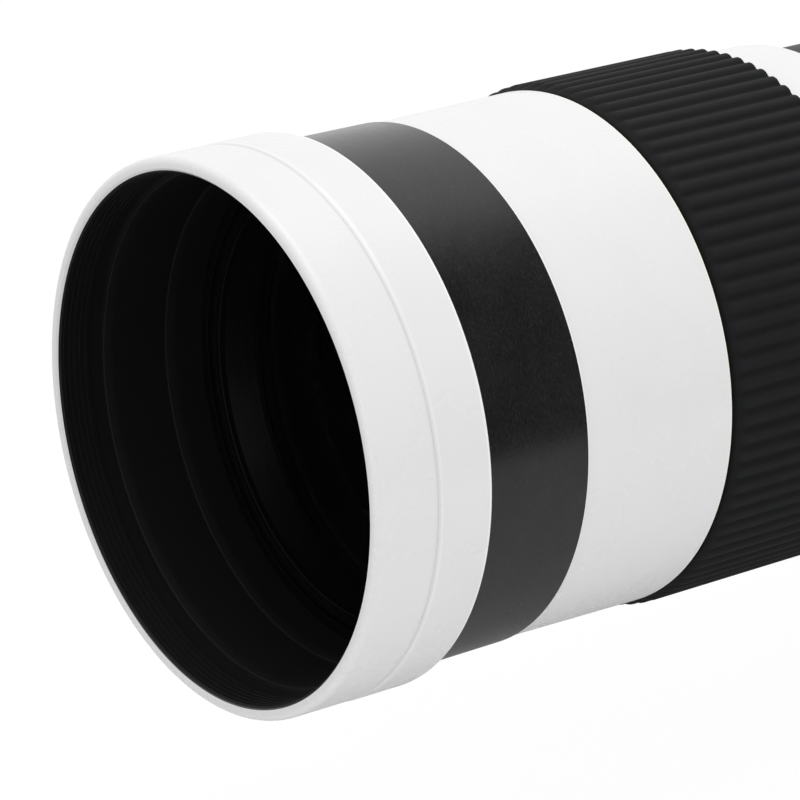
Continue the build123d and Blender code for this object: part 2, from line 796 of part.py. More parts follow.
with BuildPart() as barrel_screws:
    with BuildSketch(*spokes(thirds(), barrel_screw_y, rear_bore)):
        Circle(barrel_screw_radius)
    extrude(amount=rear_wall - barrel_screw_sink)
barrel_screws.part.label = "barrel_screws"
export_step(barrel_screws.part, "parts/barrel_screws.step")

# T2 mount ring: flange face at the origin, male M42 x 0.75 thread behind it
t2_length = 4.0
t2_wall = 2.0
t2_chamfer = 0.4
flange_chamfer = 0.5
mount_spigot_length = 4.5
mount_bore = t2_radius - t2_wall
mount_spigot_radius = mount_seat_radius - seat_gap
with BuildPart() as t2_mount_ring:
    revolve(
        section(
            (mount_bore, mount_front_y - mount_spigot_length),
            (mount_spigot_radius, mount_front_y - mount_spigot_length),
            (mount_spigot_radius, mount_front_y + seat_gap),
            (tail_radius, mount_front_y + seat_gap),
            (tail_radius, 0),
            (t2_radius, 0),
            (t2_radius, t2_length),
            (mount_bore, t2_length),
        ),
        axis=Axis.Y,
    )
    outer_edges = t2_mount_ring.edges().filter_by(GeomType.CIRCLE).group_by(SortBy.RADIUS)[-1]
    chamfer(outer_edges.sort_by(Axis.Y)[-1], length=flange_chamfer)
    thread_edges = t2_mount_ring.edges().filter_by(GeomType.CIRCLE).group_by(Axis.Y)[-1]
    chamfer(thread_edges.sort_by(SortBy.RADIUS)[-1], length=t2_chamfer)
    with BuildSketch(*spokes(thirds(mount_screw_angle), mount_screw_y, mount_screw_floor)):
        Circle(mount_screw_radius + seat_gap)
    extrude(amount=mount_screw_depth + overrun, mode=Mode.SUBTRACT)
t2_mount_ring.part.label = "t2_mount_ring"
export_step(t2_mount_ring.part, "parts/t2_mount_ring.step")

with BuildPart() as mount_screws:
    with BuildSketch(*spokes(thirds(mount_screw_angle), mount_screw_y, mount_screw_floor + seat_gap)):
        Circle(mount_screw_radius)
    extrude(amount=mount_screw_depth + tail_radius - mount_seat_radius - barrel_screw_sink)
mount_screws.part.label = "mount_screws"
export_step(mount_screws.part, "parts/mount_screws.step")

# Light trap: black tube in the mount's bore
trap_wall = 1.5
trap_length = 13.0
trap_setback = 1.0
with BuildPart() as light_trap:
    revolve(
        tube_section(
            mount_bore - trap_wall, mount_bore - seat_gap, -trap_setback - trap_length, -trap_setback
        ),
        axis=Axis.Y,
    )
light_trap.part.label = "light_trap"
export_step(light_trap.part, "parts/light_trap.step")

# Variator: the negative rear group, in a spoked cell that slides in the guide tube
variator_lens_radius = 18.0
concave_curve_radius = 90.0
convex_curve_ease = 5.0
convex_curve_radius = concave_curve_radius + convex_curve_ease
concave_thickness = 2.0
convex_thickness = 3.6
hub_wall = 2.0
hub_lip = 0.8
hub_lip_length = 1.0
rim_wall = 1.5
web_thickness = 3.0
variator_radius = guide_bore - slide_gap
hub_bore = variator_lens_radius + seat_gap
hub_radius = variator_lens_radius + hub_wall
concave_edge_y = variator_front_y + hub_lip_length + seat_gap
concave_front_y = concave_edge_y + sagitta(concave_curve_radius, variator_lens_radius)
concave_rear_y = concave_front_y + concave_thickness
concave_rear_edge_y = concave_rear_y + sagitta(concave_curve_radius, variator_lens_radius)
convex_edge_y = concave_rear_edge_y + seat_gap
convex_front_y = convex_edge_y - sagitta(convex_curve_radius, variator_lens_radius)
convex_rear_y = convex_front_y + convex_thickness
web_front_y = variator_follower_y - web_thickness / 2
web_rear_y = variator_follower_y + web_thickness / 2
with BuildPart() as variator_cell:
    revolve(
        section(
            (variator_lens_radius - hub_lip, variator_front_y),
            (hub_radius, variator_front_y),
            (hub_radius, web_front_y),
            (variator_radius - rim_wall, web_front_y),
            (variator_radius - rim_wall, variator_front_y),
            (variator_radius, variator_front_y),
            (variator_radius, variator_rear_y),
            (variator_radius - rim_wall, variator_rear_y),
            (variator_radius - rim_wall, web_rear_y),
            (hub_radius, web_rear_y),
            (hub_radius, variator_rear_y),
            (hub_bore, variator_rear_y),
            (hub_bore, variator_front_y + hub_lip_length),
            (variator_lens_radius - hub_lip, variator_front_y + hub_lip_length),
        ),
        axis=Axis.Y,
    )
    with BuildSketch(
        *spokes(thirds(variator_follower_angle), variator_follower_y, variator_radius - rim_wall)
    ):
        Circle(follower_radius + seat_gap)
    extrude(amount=rim_wall + overrun, mode=Mode.SUBTRACT)
variator_cell.part.label = "variator_cell"
export_step(variator_cell.part, "parts/variator_cell.step")

with BuildPart() as variator_concave_lens:
    with BuildSketch():
        with BuildLine():
            RadiusArc((0, concave_front_y), (variator_lens_radius, concave_edge_y), concave_curve_radius)
            Line((variator_lens_radius, concave_edge_y), (variator_lens_radius, concave_rear_edge_y))
            RadiusArc((variator_lens_radius, concave_rear_edge_y), (0, concave_rear_y), concave_curve_radius)
            Line((0, concave_rear_y), (0, concave_front_y))
        make_face()
    revolve(axis=Axis.Y)
variator_concave_lens.part.label = "variator_concave_lens"
export_step(variator_concave_lens.part, "parts/variator_concave_lens.step")

with BuildPart() as variator_convex_lens:
    with BuildSketch():
        with BuildLine():
            RadiusArc((0, convex_front_y), (variator_lens_radius, convex_edge_y), -convex_curve_radius)
            Line((variator_lens_radius, convex_edge_y), (variator_lens_radius, convex_rear_y))
            Line((variator_lens_radius, convex_rear_y), (0, convex_rear_y))
            Line((0, convex_rear_y), (0, convex_front_y))
        make_face()
    revolve(axis=Axis.Y)
variator_convex_lens.part.label = "variator_convex_lens"
export_step(variator_convex_lens.part, "parts/variator_convex_lens.step")

with BuildPart() as variator_retainer:
    revolve(
        tube_section(
            variator_lens_radius - hub_lip, variator_lens_radius, convex_rear_y + seat_gap, variator_rear_y
        ),
        axis=Axis.Y,
    )
variator_retainer.part.label = "variator_retainer"
export_step(variator_retainer.part, "parts/variator_retainer.step")

with BuildPart() as variator_followers:
    with BuildSketch(
        *spokes(thirds(variator_follower_angle), variator_follower_y, variator_radius - follower_sink)
    ):
        Circle(follower_radius)
    extrude(amount=follower_sink + cam_radius - slide_gap - variator_radius)
variator_followers.part.label = "variator_followers"
export_step(variator_followers.part, "parts/variator_followers.step")

# Tripod collar: split ring with a clamping ear at the side and a boss for the foot below
liner_thickness = 0.5
collar_wall = 3.2
boss_width = 20.0
boss_drop = 3.3
knob_radius = 7.5
knob_gap = 1.2
ear_end = 5.0
ear_height = 7.0
ear_length = 14.0
slit_height = 2.0
liner_bore = groove_radius + slide_gap
collar_bore = liner_bore + liner_thickness + seat_gap
collar_radius = collar_bore + collar_wall
collar_y = (groove_front_y + groove_rear_y) / 2
boss_z = -collar_radius - boss_drop
clamp_x = -collar_radius - knob_gap - knob_radius
ear_x = clamp_x - ear_end
stud_radius = 2.0
ear_round = 2.0
with BuildPart() as tripod_collar:
    with BuildSketch(Plane(origin=(0, groove_rear_y, 0), x_dir=(1, 0, 0), z_dir=(0, -1, 0))):
        Circle(collar_radius)
        with Locations((0, boss_z / 2)):
            Rectangle(boss_width, -boss_z)
    extrude(amount=collar_width)
    with BuildSketch(Plane(origin=(0, collar_y, 0), x_dir=(1, 0, 0), z_dir=(0, -1, 0))):
        with Locations((ear_x / 2, 0)):
            Rectangle(-ear_x, ear_height * 2)
    extrude(amount=ear_length / 2, both=True)
    ear_edges = tripod_collar.edges().filter_by(Axis.Z).group_by(Axis.X)[0]
    fillet(ear_edges, radius=ear_round)
    with BuildSketch(Plane(origin=(0, groove_rear_y, 0), x_dir=(1, 0, 0), z_dir=(0, -1, 0))):
        Circle(collar_bore)
    extrude(amount=collar_width, mode=Mode.SUBTRACT)
    with BuildSketch(Plane(origin=(0, collar_y, 0), x_dir=(1, 0, 0), z_dir=(0, -1, 0))):
        with Locations((ear_x / 2 - overrun, 0)):
            Rectangle(-ear_x, slit_height)
    extrude(amount=collar_width, both=True, mode=Mode.SUBTRACT)
    with BuildSketch(Plane.XY.offset(-ear_height)):
        with Locations((clamp_x, collar_y)):
            Circle(stud_radius + slide_gap)
    extrude(amount=ear_height * 2, mode=Mode.SUBTRACT)
    foot_screw_radius = 1.5
    foot_screw_depth = 3.0
    foot_screw_offset = 5.5
    with BuildSketch(Plane.XY.offset(boss_z)):
        with Locations((0, collar_y - foot_screw_offset), (0, collar_y + foot_screw_offset)):
            Circle(foot_screw_radius + seat_gap)
    extrude(amount=foot_screw_depth, mode=Mode.SUBTRACT)
tripod_collar.part.label = "tripod_collar"
export_step(tripod_collar.part, "parts/tripod_collar.step")

with BuildPart() as collar_liner:
    revolve(
        tube_section(
            liner_bore, liner_bore + liner_thickness, groove_front_y + slide_gap, groove_rear_y - slide_gap
        ),
        axis=Axis.Y,
    )
    with BuildSketch(Plane(origin=(0, collar_y, 0), x_dir=(1, 0, 0), z_dir=(0, -1, 0))):
        with Locations((ear_x / 2 - overrun, 0)):
            Rectangle(-ear_x, slit_height)
    extrude(amount=collar_width, both=True, mode=Mode.SUBTRACT)
collar_liner.part.label = "collar_liner"
export_step(collar_liner.part, "parts/collar_liner.step")

# Foot: a block under the collar with a long plate that reaches forward below the balance point
foot_height = 17.0
foot_width = 24.0
plate_thickness = 6.5
plate_front_reach = 58.0
plate_rear_reach = 9.0
web_rise = 7.0
foot_round = 3.0
foot_chamfer = 0.8
screw_head_radius = 2.8
screw_head_height = 3.0
screw_head_clearance = 0.2
bush_reach = 37.0
bush_y = collar_y - bush_reach
bush_radius = 5.5
bush_thread_radius = 3.175
bush_length = 5.5
foot_top_z = boss_z - seat_gap
foot_base_z = foot_top_z - foot_height
plate_top_z = foot_base_z + plate_thickness
plate_front_y = collar_y - plate_front_reach
plate_rear_y = collar_y + plate_rear_reach
stem_front_y = collar_y - plate_rear_reach
head_top_z = foot_base_z + screw_head_height + screw_head_clearance
with BuildPart() as tripod_foot:
    with BuildSketch(Plane.YZ):
        with BuildLine():
            Polyline(
                (plate_rear_y, foot_top_z),
                (plate_rear_y, foot_base_z),
                (plate_front_y, foot_base_z),
                (plate_front_y, plate_top_z),
                (stem_front_y - web_rise, plate_top_z),
                (stem_front_y, plate_top_z + web_rise),
                (stem_front_y, foot_top_z),
                close=True,
            )
        make_face()
    extrude(amount=foot_width / 2, both=True)
    upright_edges = tripod_foot.edges().filter_by(Axis.Z)
    fillet([upright_edges.sort_by(Axis.Y)[0], upright_edges.sort_by(Axis.Y)[1]], radius=foot_round)
    chamfer(tripod_foot.faces().sort_by(Axis.Z)[0].edges(), length=foot_chamfer)
    with BuildSketch(Plane.XY.offset(foot_base_z)):
        with Locations((0, collar_y - foot_screw_offset), (0, collar_y + foot_screw_offset)):
            Circle(foot_screw_radius + slide_gap)
    extrude(amount=foot_height + overrun, mode=Mode.SUBTRACT)
    with BuildSketch(Plane.XY.offset(foot_base_z)):
        with Locations((0, collar_y - foot_screw_offset), (0, collar_y + foot_screw_offset)):
            Circle(screw_head_radius + slide_gap)
    extrude(amount=head_top_z - foot_base_z, mode=Mode.SUBTRACT)
    with BuildSketch(Plane.XY.offset(foot_base_z)):
        with Locations((0, bush_y)):
            Circle(bush_radius + seat_gap)
    extrude(amount=bush_length, mode=Mode.SUBTRACT)
tripod_foot.part.label = "tripod_foot"
export_step(tripod_foot.part, "parts/tripod_foot.step")

with BuildPart() as foot_screws:
    with BuildSketch(Plane.XY.offset(head_top_z - seat_gap)):
        with Locations((0, collar_y - foot_screw_offset), (0, collar_y + foot_screw_offset)):
            Circle(foot_screw_radius)
    extrude(amount=boss_z + foot_screw_depth - head_top_z)
    with BuildSketch(Plane.XY.offset(head_top_z - seat_gap)):
        with Locations((0, collar_y - foot_screw_offset), (0, collar_y + foot_screw_offset)):
            Circle(screw_head_radius)
    extrude(amount=-screw_head_height)
foot_screws.part.label = "foot_screws"
export_step(foot_screws.part, "parts/foot_screws.step")

with BuildPart() as tripod_bush:
    with BuildSketch(Plane.XY.offset(foot_base_z)):
        with Locations((0, bush_y)):
            Circle(bush_radius)
            Circle(bush_thread_radius, mode=Mode.SUBTRACT)
    extrude(amount=bush_length - seat_gap)
tripod_bush.part.label = "tripod_bush"
export_step(tripod_bush.part, "parts/tripod_bush.step")

# Lock knob: a fluted cap on a stud through the collar's ear
knob_height = 10.0
flute_count = 12
flute_radius = 1.1
knob_chamfer = 0.8
knob_lift = 0.3
stud_embed = 7.0
stud_margin = 1.0
knob_base_z = ear_height + knob_lift
stud_base_z = -ear_height + stud_margin
with BuildPart() as collar_knob:
    with BuildSketch(Plane.XY.offset(knob_base_z)):
        with Locations((clamp_x, collar_y)):
            Circle(knob_radius)
    extrude(amount=knob_height)
    chamfer(collar_knob.faces().sort_by(Axis.Z)[-1].edges(), length=knob_chamfer)
    with BuildSketch(Plane.XY.offset(knob_base_z)):
        with Locations((clamp_x, collar_y)):
            with PolarLocations(knob_radius, flute_count):
                Circle(flute_radius)
    extrude(amount=knob_height, mode=Mode.SUBTRACT)
    with BuildSketch(Plane.XY.offset(knob_base_z)):
        with Locations((clamp_x, collar_y)):
            Circle(stud_radius + seat_gap)
    extrude(amount=stud_embed + seat_gap, mode=Mode.SUBTRACT)
collar_knob.part.label = "collar_knob"
export_step(collar_knob.part, "parts/collar_knob.step")

with BuildPart() as knob_stud:
    with BuildSketch(Plane.XY.offset(stud_base_z)):
        with Locations((clamp_x, collar_y)):
            Circle(stud_radius)
    extrude(amount=knob_base_z + stud_embed - stud_base_z)
knob_stud.part.label = "knob_stud"
export_step(knob_stud.part, "parts/knob_stud.step")
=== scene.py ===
"""Looks of a long white camera zoom lens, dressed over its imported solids.

Sizes in the classes are millimetres. Stations run along the optical axis from the
rear flange; the front rim is the most negative one. Angles are degrees round the
axis, from straight up towards +X.
"""
import logging
import math
from dataclasses import dataclass, field
from enum import Enum
from typing import Iterable, Sequence

import bmesh
import bpy
from mathutils import Matrix, Vector


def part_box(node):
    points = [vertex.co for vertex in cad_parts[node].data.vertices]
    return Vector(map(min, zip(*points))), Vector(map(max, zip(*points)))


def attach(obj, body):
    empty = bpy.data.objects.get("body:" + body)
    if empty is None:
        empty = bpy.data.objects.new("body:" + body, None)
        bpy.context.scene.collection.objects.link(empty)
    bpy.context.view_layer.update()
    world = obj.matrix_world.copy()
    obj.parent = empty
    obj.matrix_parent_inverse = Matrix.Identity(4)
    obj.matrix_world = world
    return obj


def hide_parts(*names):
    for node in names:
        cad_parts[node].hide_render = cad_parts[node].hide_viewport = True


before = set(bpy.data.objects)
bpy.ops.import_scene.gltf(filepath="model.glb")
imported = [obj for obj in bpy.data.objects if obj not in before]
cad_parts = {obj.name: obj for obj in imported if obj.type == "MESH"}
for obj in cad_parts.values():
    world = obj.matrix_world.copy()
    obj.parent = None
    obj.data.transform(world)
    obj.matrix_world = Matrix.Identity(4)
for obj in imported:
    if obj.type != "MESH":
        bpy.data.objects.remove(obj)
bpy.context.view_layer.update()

MM = 0.001
log = logging.getLogger("zoom_lens")

Piece = bpy.types.Object
Material = bpy.types.Material
Point = tuple[float, float]
Triple = tuple[float, float, float]
Corner = tuple[float, ...]
EDGE_SLOPE = 0.3  # a face of a lens that looks less than this along the axis is its blackened edge
LONG_EDGE = 2.5  # an edge gets supports where it is this many times longer than their distance


class Grain(Enum):
    """Run of a surface's fine texture, as a stretch along X, Y and Z."""

    EVEN = (1.0, 1.0, 1.0)
    TURNED = (0.035, 1.0, 0.035)
    DRAWN = (1.0, 0.05, 1.0)
    BRUSHED = (0.3, 1.0, 0.3)


class Term:
    """A node socket that can stand in a Python expression."""

    def __init__(self, wiring: "Wiring", socket: bpy.types.NodeSocket) -> None:
        """Keeps the socket and the tree that it belongs to."""
        self.wiring = wiring
        self.socket = socket

    def _math(self, operation: str, *values: "Term | float") -> "Term":
        """Adds one Math node for an operation on these values."""
        return self.wiring.node("ShaderNodeMath", {"operation": operation}, dict(enumerate(values)))

    def __add__(self, other: "Term | float") -> "Term":
        """self + other."""
        return self._math("ADD", self, other)

    def __radd__(self, other: float) -> "Term":
        """other + self."""
        return self._math("ADD", other, self)

    def __sub__(self, other: "Term | float") -> "Term":
        """self - other."""
        return self._math("SUBTRACT", self, other)

    def __rsub__(self, other: float) -> "Term":
        """other - self."""
        return self._math("SUBTRACT", other, self)

    def __mul__(self, other: "Term | float") -> "Term":
        """self * other."""
        return self._math("MULTIPLY", self, other)

    def __rmul__(self, other: float) -> "Term":
        """other * self."""
        return self._math("MULTIPLY", other, self)

    def __truediv__(self, other: "Term | float") -> "Term":
        """self / other."""
        return self._math("DIVIDE", self, other)

    def cosine(self) -> "Term":
        """Cosine of an angle in radians."""
        return self._math("COSINE", self)

    def sine(self) -> "Term":
        """Sine of an angle in radians."""
        return self._math("SINE", self)

    def root(self) -> "Term":
        """Square root."""
        return self._math("SQRT", self)

    def size(self) -> "Term":
        """Value without its sign."""
        return self._math("ABSOLUTE", self)

    def power(self, exponent: float) -> "Term":
        """Value raised to a power."""
        return self._math("POWER", self, exponent)

    def angle_to(self, other: "Term") -> "Term":
        """Angle whose tangent is self over other."""
        return self._math("ARCTAN2", self, other)

    def step(self, low: "Term | float", high: "Term | float") -> "Term":
        """Smooth rise from 0 at low to 1 at high, which may be the lower one."""
        inputs = {"Value": self, "From Min": low, "From Max": high}
        return self.wiring.node("ShaderNodeMapRange", {"interpolation_type": "SMOOTHSTEP"}, inputs)


class Wiring:
    """A node tree under construction, whose every node comes from one method."""

    tree: bpy.types.NodeTree

    def node(
        self,
        kind: str,
        settings: dict[str, object] | None = None,
        inputs: dict[int | str, object] | None = None,
        output: int | str = 0,
    ) -> Term:
        """Adds a node.

        Args:
            kind: Node type.
            settings: Properties, set before the sockets.
            inputs: Value or Term of each socket, by name or number.
            output: The output that the result stands for.

        Returns:
            The chosen output as a Term.
        """
        made = self.tree.nodes.new(kind)
        for key, value in (settings or {}).items():
            setattr(made, key, value)
        for key, value in (inputs or {}).items():
            if isinstance(value, Term):
                self.tree.links.new(value.socket, made.inputs[key])
            else:
                made.inputs[key].default_value = value
        return Term(self, made.outputs[output] if made.outputs else None)


class Recipe(Wiring):
    """Node material with helpers for the patterns that the finishes share."""

    def __init__(self, name: str) -> None:
        """Starts an empty material.

        Args:
            name: Name of the material.
        """
        self.material = bpy.data.materials.new(name)
        self.material.use_nodes = True
        self.tree = self.material.node_tree
        self.tree.nodes.clear()
        place = self.node("ShaderNodeTexCoord", output="Object")
        self.mm = self.node("ShaderNodeVectorMath", {"operation": "SCALE"}, {0: place, "Scale": 1 / MM})

    def axes(self) -> tuple[Term, Term, Term]:
        """Splits the point into its coordinates.

        Returns:
            X, Y and Z in millimetres.
        """
        first = self.node("ShaderNodeSeparateXYZ", inputs={0: self.mm})
        sockets = first.socket.node.outputs
        return first, Term(self, sockets[1]), Term(self, sockets[2])

    def noise(self, size: float, grain: Grain = Grain.EVEN, detail: float = 2.0, seed: float = 0.0) -> Term:
        """Soft noise from 0 to 1.

        Args:
            size: Width of one speck in millimetres.
            grain: Run of the texture.
            detail: Finer octaves.
            seed: Shift that makes one noise unlike another.

        Returns:
            The noise value.
        """
        scaled = {0: self.mm, 1: [part / size for part in grain.value], 2: (seed, seed, seed)}
        place = self.node("ShaderNodeVectorMath", {"operation": "MULTIPLY_ADD"}, scaled)
        texture = {"Vector": place, "Scale": 1.0, "Detail": detail, "Roughness": 0.55}
        return self.node("ShaderNodeTexNoise", inputs=texture)

    def blend(self, first: Sequence[float] | Term, second: Sequence[float] | Term, share: Term) -> Term:
        """Colour that goes from first to second with share."""
        inputs = {0: share, 6: coloured(first), 7: coloured(second)}
        return self.node("ShaderNodeMix", {"data_type": "RGBA"}, inputs, 2)

    def close(
        self,
        colour: Term,
        roughness: Term,
        height: Term | None = None,
        depth: float = 0.0,
        sockets: dict[str, object] | None = None,
    ) -> Material:
        """Ends the material with a Principled shader.

        Args:
            colour: Base Color.
            roughness: Roughness.
            height: Height of the relief from 0 to 1, where it has one.
            depth: Depth of the relief in millimetres.
            sockets: Value of each further socket.

        Returns:
            The finished material.
        """
        inputs = {"Base Color": colour, "Roughness": roughness, **(sockets or {})}
        if height:
            relief = {"Height": height, "Distance": depth * MM, "Strength": 1.0}
            inputs["Normal"] = self.node("ShaderNodeBump", inputs=relief)
        shader = self.node("ShaderNodeBsdfPrincipled", inputs=inputs)
        self.node("ShaderNodeOutputMaterial", inputs={"Surface": shader})
        return self.material


def coloured(value: Sequence[float] | Term) -> Sequence[float] | Term:
    """A colour of three numbers with its alpha, or the Term as it is."""
    return value if isinstance(value, Term) else (*value[:3], 1.0)


@dataclass(frozen=True)
class Line:
    """Fine ring of painted light on a finish, brighter for a painted highlight and darker for painted shade;
    it fades from core to wide millimetres off its station.
    """

    station: float
    tone: Triple
    share: float
    wide: float = 0.2
    core: float = 0.02


@dataclass(frozen=True)
class SatinPaint:
    """White satin stove enamel with painted highlights on its arrises, painted shade in the seam and a
    painted highlight on the rim's inner arris; gritty and chipped at the rim.
    """

    name: str = "satin_white_enamel"
    white: Triple = (0.80, 0.80, 0.80)
    shade: Triple = (0.785, 0.785, 0.785)
    grey: Triple = (0.52, 0.52, 0.53)
    bare: Triple = (0.012, 0.012, 0.013)
    rim_station: float = -244.0
    lip_bore: float = 31.47
    # Rings of painted light: painted highlights on the collar's two arrises and the sleeve's front arris, a
    # cream painted highlight on the sleeve's rear arris, and painted shade in the seam behind the rim.
    painted_light_rings: tuple[Line, ...] = (
        Line(-235.15, (0.98, 0.98, 0.98), 0.25),
        Line(-228.52, (0.98, 0.98, 0.98), 0.8),
        Line(-213.32, (0.98, 0.98, 0.98), 1.0),
        Line(-192.42, (0.97, 0.93, 0.80), 0.8, 0.22),
        Line(-235.59, (0.52, 0.52, 0.53), 0.28, 0.42, 0.0),
    )

    def material(self) -> Material:
        """Builds the paint.

        Returns:
            Its material.
        """
        recipe = Recipe(self.name)
        across, along, up = recipe.axes()
        radius = (across * across + up * up).root()
        cloud = recipe.noise(9.0, detail=3.0).step(0.35, 0.75)
        peel = recipe.noise(1.6, detail=1.0, seed=7.0)
        grit = recipe.noise(0.2, detail=3.0, seed=31.0)
        depth = along - self.rim_station
        chips = depth.step(0.7, 0.1) * grit.step(0.70, 0.74) * recipe.noise(3.1, seed=3.0).step(0.54, 0.62)
        tone = recipe.blend(self.white, self.shade, cloud)
        # Painted highlights and painted shade, one ring at a time.
        for painted_ring in self.painted_light_rings:
            near = (along - painted_ring.station).size().step(painted_ring.wide, painted_ring.core)
            tone = recipe.blend(tone, painted_ring.tone, near * painted_ring.share)
        tone = recipe.blend(tone, self.grey, depth.step(0.9, 0.3) * (grit.step(0.35, 0.75) * 0.22 + chips))
        lip = radius.step(self.lip_bore + 0.95, self.lip_bore + 0.3) * depth.step(0.6, 0.3)
        tone = recipe.blend(tone, self.grey, lip * 0.30)
        # The white runs past the lip's inner arris and reaches furthest towards the upper left, as a painted
        # highlight on that arris; deeper in, the bore is black.
        edge = (up * 0.64 - across * 0.77) * (0.10 / self.lip_bore) + 0.17
        inside = radius.step(self.lip_bore, self.lip_bore - 0.02) * depth.step(1.0, 0.9)
        tone = recipe.blend(tone, self.bare, inside * (depth - edge).step(0.0, 0.05))
        return recipe.close(tone, 0.26 + 0.04 * cloud, peel, 0.0006, {"IOR": 1.45})


@dataclass(frozen=True)
class Anodising:
    """Dark anodised metal with the lathe's fine turning marks."""

    name: str
    tone: Triple
    worn: Triple
    roughness: float = 0.42
    depth: float = 0.0025
    level: float = 0.5
    grain: Grain = Grain.TURNED
    mark: float = 0.05
    dust: Triple = (0.18, 0.18, 0.19)

    def material(self) -> Material:
        """Builds the anodised finish.

        Returns:
            Its material.
        """
        recipe = Recipe(self.name)
        marks = recipe.noise(self.mark, self.grain, 3.0)
        bands = recipe.noise(0.7, self.grain, 2.0, 5.0)
        dust = recipe.noise(0.09, detail=1.0, seed=17.0).step(0.79, 0.83)
        cloud = recipe.noise(6.0, detail=3.0, seed=2.0).step(0.3, 0.8)
        tone = recipe.blend(self.tone, self.worn, marks.step(0.35, 0.8) * 0.6 + cloud * 0.25)
        tone = recipe.blend(tone, self.dust, dust * 0.5)
        rough = self.roughness + 0.14 * marks + 0.08 * bands - 0.1
        level = {"Specular IOR Level": self.level}
        return recipe.close(tone, rough, marks * 0.7 + bands * 0.3, self.depth, level)


@dataclass(frozen=True)
class Rubber:
    """Matt ribbed rubber, a little greyer and polished on the crests, with pale dust."""

    name: str
    valley_radius: float
    rib_height: float = 0.47
    tone: Triple = (0.0085, 0.0088, 0.0095)
    crest: Triple = (0.013, 0.0133, 0.0145)
    rubbed: Triple = (0.024, 0.025, 0.027)
    shaded: Triple = (0.002, 0.002, 0.002)
    dust: Triple = (0.34, 0.35, 0.37)

    def material(self) -> Material:
        """Builds the rubber.

        Returns:
            Its material.
        """
        recipe = Recipe(self.name)
        across, _, up = recipe.axes()
        radius = (across * across + up * up).root()
        high = radius.step(self.valley_radius + 0.05, self.valley_radius + self.rib_height)
        on_lip = radius.step(self.valley_radius - 0.26, self.valley_radius - 0.02)
        fine = recipe.noise(0.10, detail=3.0)
        soft = recipe.noise(2.4, detail=3.0, seed=4.0).step(0.3, 0.75)
        lint = recipe.noise(0.17, detail=1.0, seed=23.0).step(0.82, 0.84)
        tone = recipe.blend(self.tone, self.crest, high * 0.7 + soft * 0.3)
        tone = recipe.blend(tone, self.rubbed, fine.step(0.45, 0.85) * 0.3)
        tone = recipe.blend(recipe.blend(self.shaded, tone, on_lip), self.dust, lint * 0.8)
        return recipe.close(tone, 0.74 + 0.12 * fine - 0.10 * high, fine, 0.012, {"Specular IOR Level": 0.14})


@dataclass(frozen=True)
class BareMetal:
    """Uncoated metal, such as brass, steel or aluminium, with its machining marks."""

    name: str
    tone: Triple
    stain: Triple
    roughness: float = 0.3
    grain: Grain = Grain.TURNED

    def material(self) -> Material:
        """Builds the metal.

        Returns:
            Its material.
        """
        recipe = Recipe(self.name)
        marks = recipe.noise(0.06, self.grain, 3.0)
        stain = recipe.noise(2.2, detail=4.0, seed=9.0).step(0.4, 0.8)
        tone = recipe.blend(self.tone, self.stain, stain * 0.7 + marks * 0.2)
        rough = self.roughness + 0.15 * marks + 0.12 * stain
        return recipe.close(tone, rough, marks, 0.003, {"Metallic": 1.0})


@dataclass(frozen=True)
class CoatedGlass:
    """Clear optical glass, whose coating takes nearly all of the light that bare glass would mirror."""

    name: str = "coated_glass"
    tint: Triple = (0.94, 0.97, 0.95)
    film: Triple = (0.86, 0.90, 0.97)
    mirrored: Corner = (0.85, 0.9, 1.0, 1.0)
    index: float = 1.13

    def material(self) -> Material:
        """Builds the glass.

        Returns:
            Its material.
        """
        recipe = Recipe(self.name)
        smear = recipe.noise(1.6, detail=4.0, seed=6.0).step(0.55, 0.9)
        tone = recipe.blend(self.tint, self.film, recipe.noise(8.0, detail=2.0))
        body = {"Transmission Weight": 1.0, "IOR": self.index, "Specular Tint": self.mirrored}
        return recipe.close(tone, 0.012 + 0.02 * smear, sockets=body)


@dataclass(frozen=True)
class Fibre:
    """Felt or nylon: a soft material of short threads."""

    name: str
    tone: Triple
    light: Triple
    fuzz: float
    roughness: float

    def material(self) -> Material:
        """Builds the fibres.

        Returns:
            Their material.
        """
        recipe = Recipe(self.name)
        hairs = recipe.noise(0.12, Grain.DRAWN, 3.0)
        lumps = recipe.noise(0.5, detail=3.0, seed=8.0)
        tone = recipe.blend(self.tone, self.light, hairs * lumps * 1.6)
        return recipe.close(tone, self.roughness - 0.1 * lumps, hairs * 0.6 + lumps * 0.4, self.fuzz)


@dataclass(frozen=True)
class Moulded:
    """Moulded plastic, print or enamel: fine pores over a slightly uneven colour."""

    name: str
    tone: Triple
    shade: Triple
    roughness: float = 0.45
    pores: float = 0.008

    def material(self) -> Material:
        """Builds the moulded finish.

        Returns:
            Its material.
        """
        recipe = Recipe(self.name)
        grain = recipe.noise(0.18, detail=3.0)
        cloud = recipe.noise(3.0, detail=3.0, seed=12.0).step(0.35, 0.75)
        tone = recipe.blend(self.tone, self.shade, cloud * 0.7 + grain * 0.3)
        return recipe.close(tone, self.roughness + 0.12 * grain, grain, self.pores)


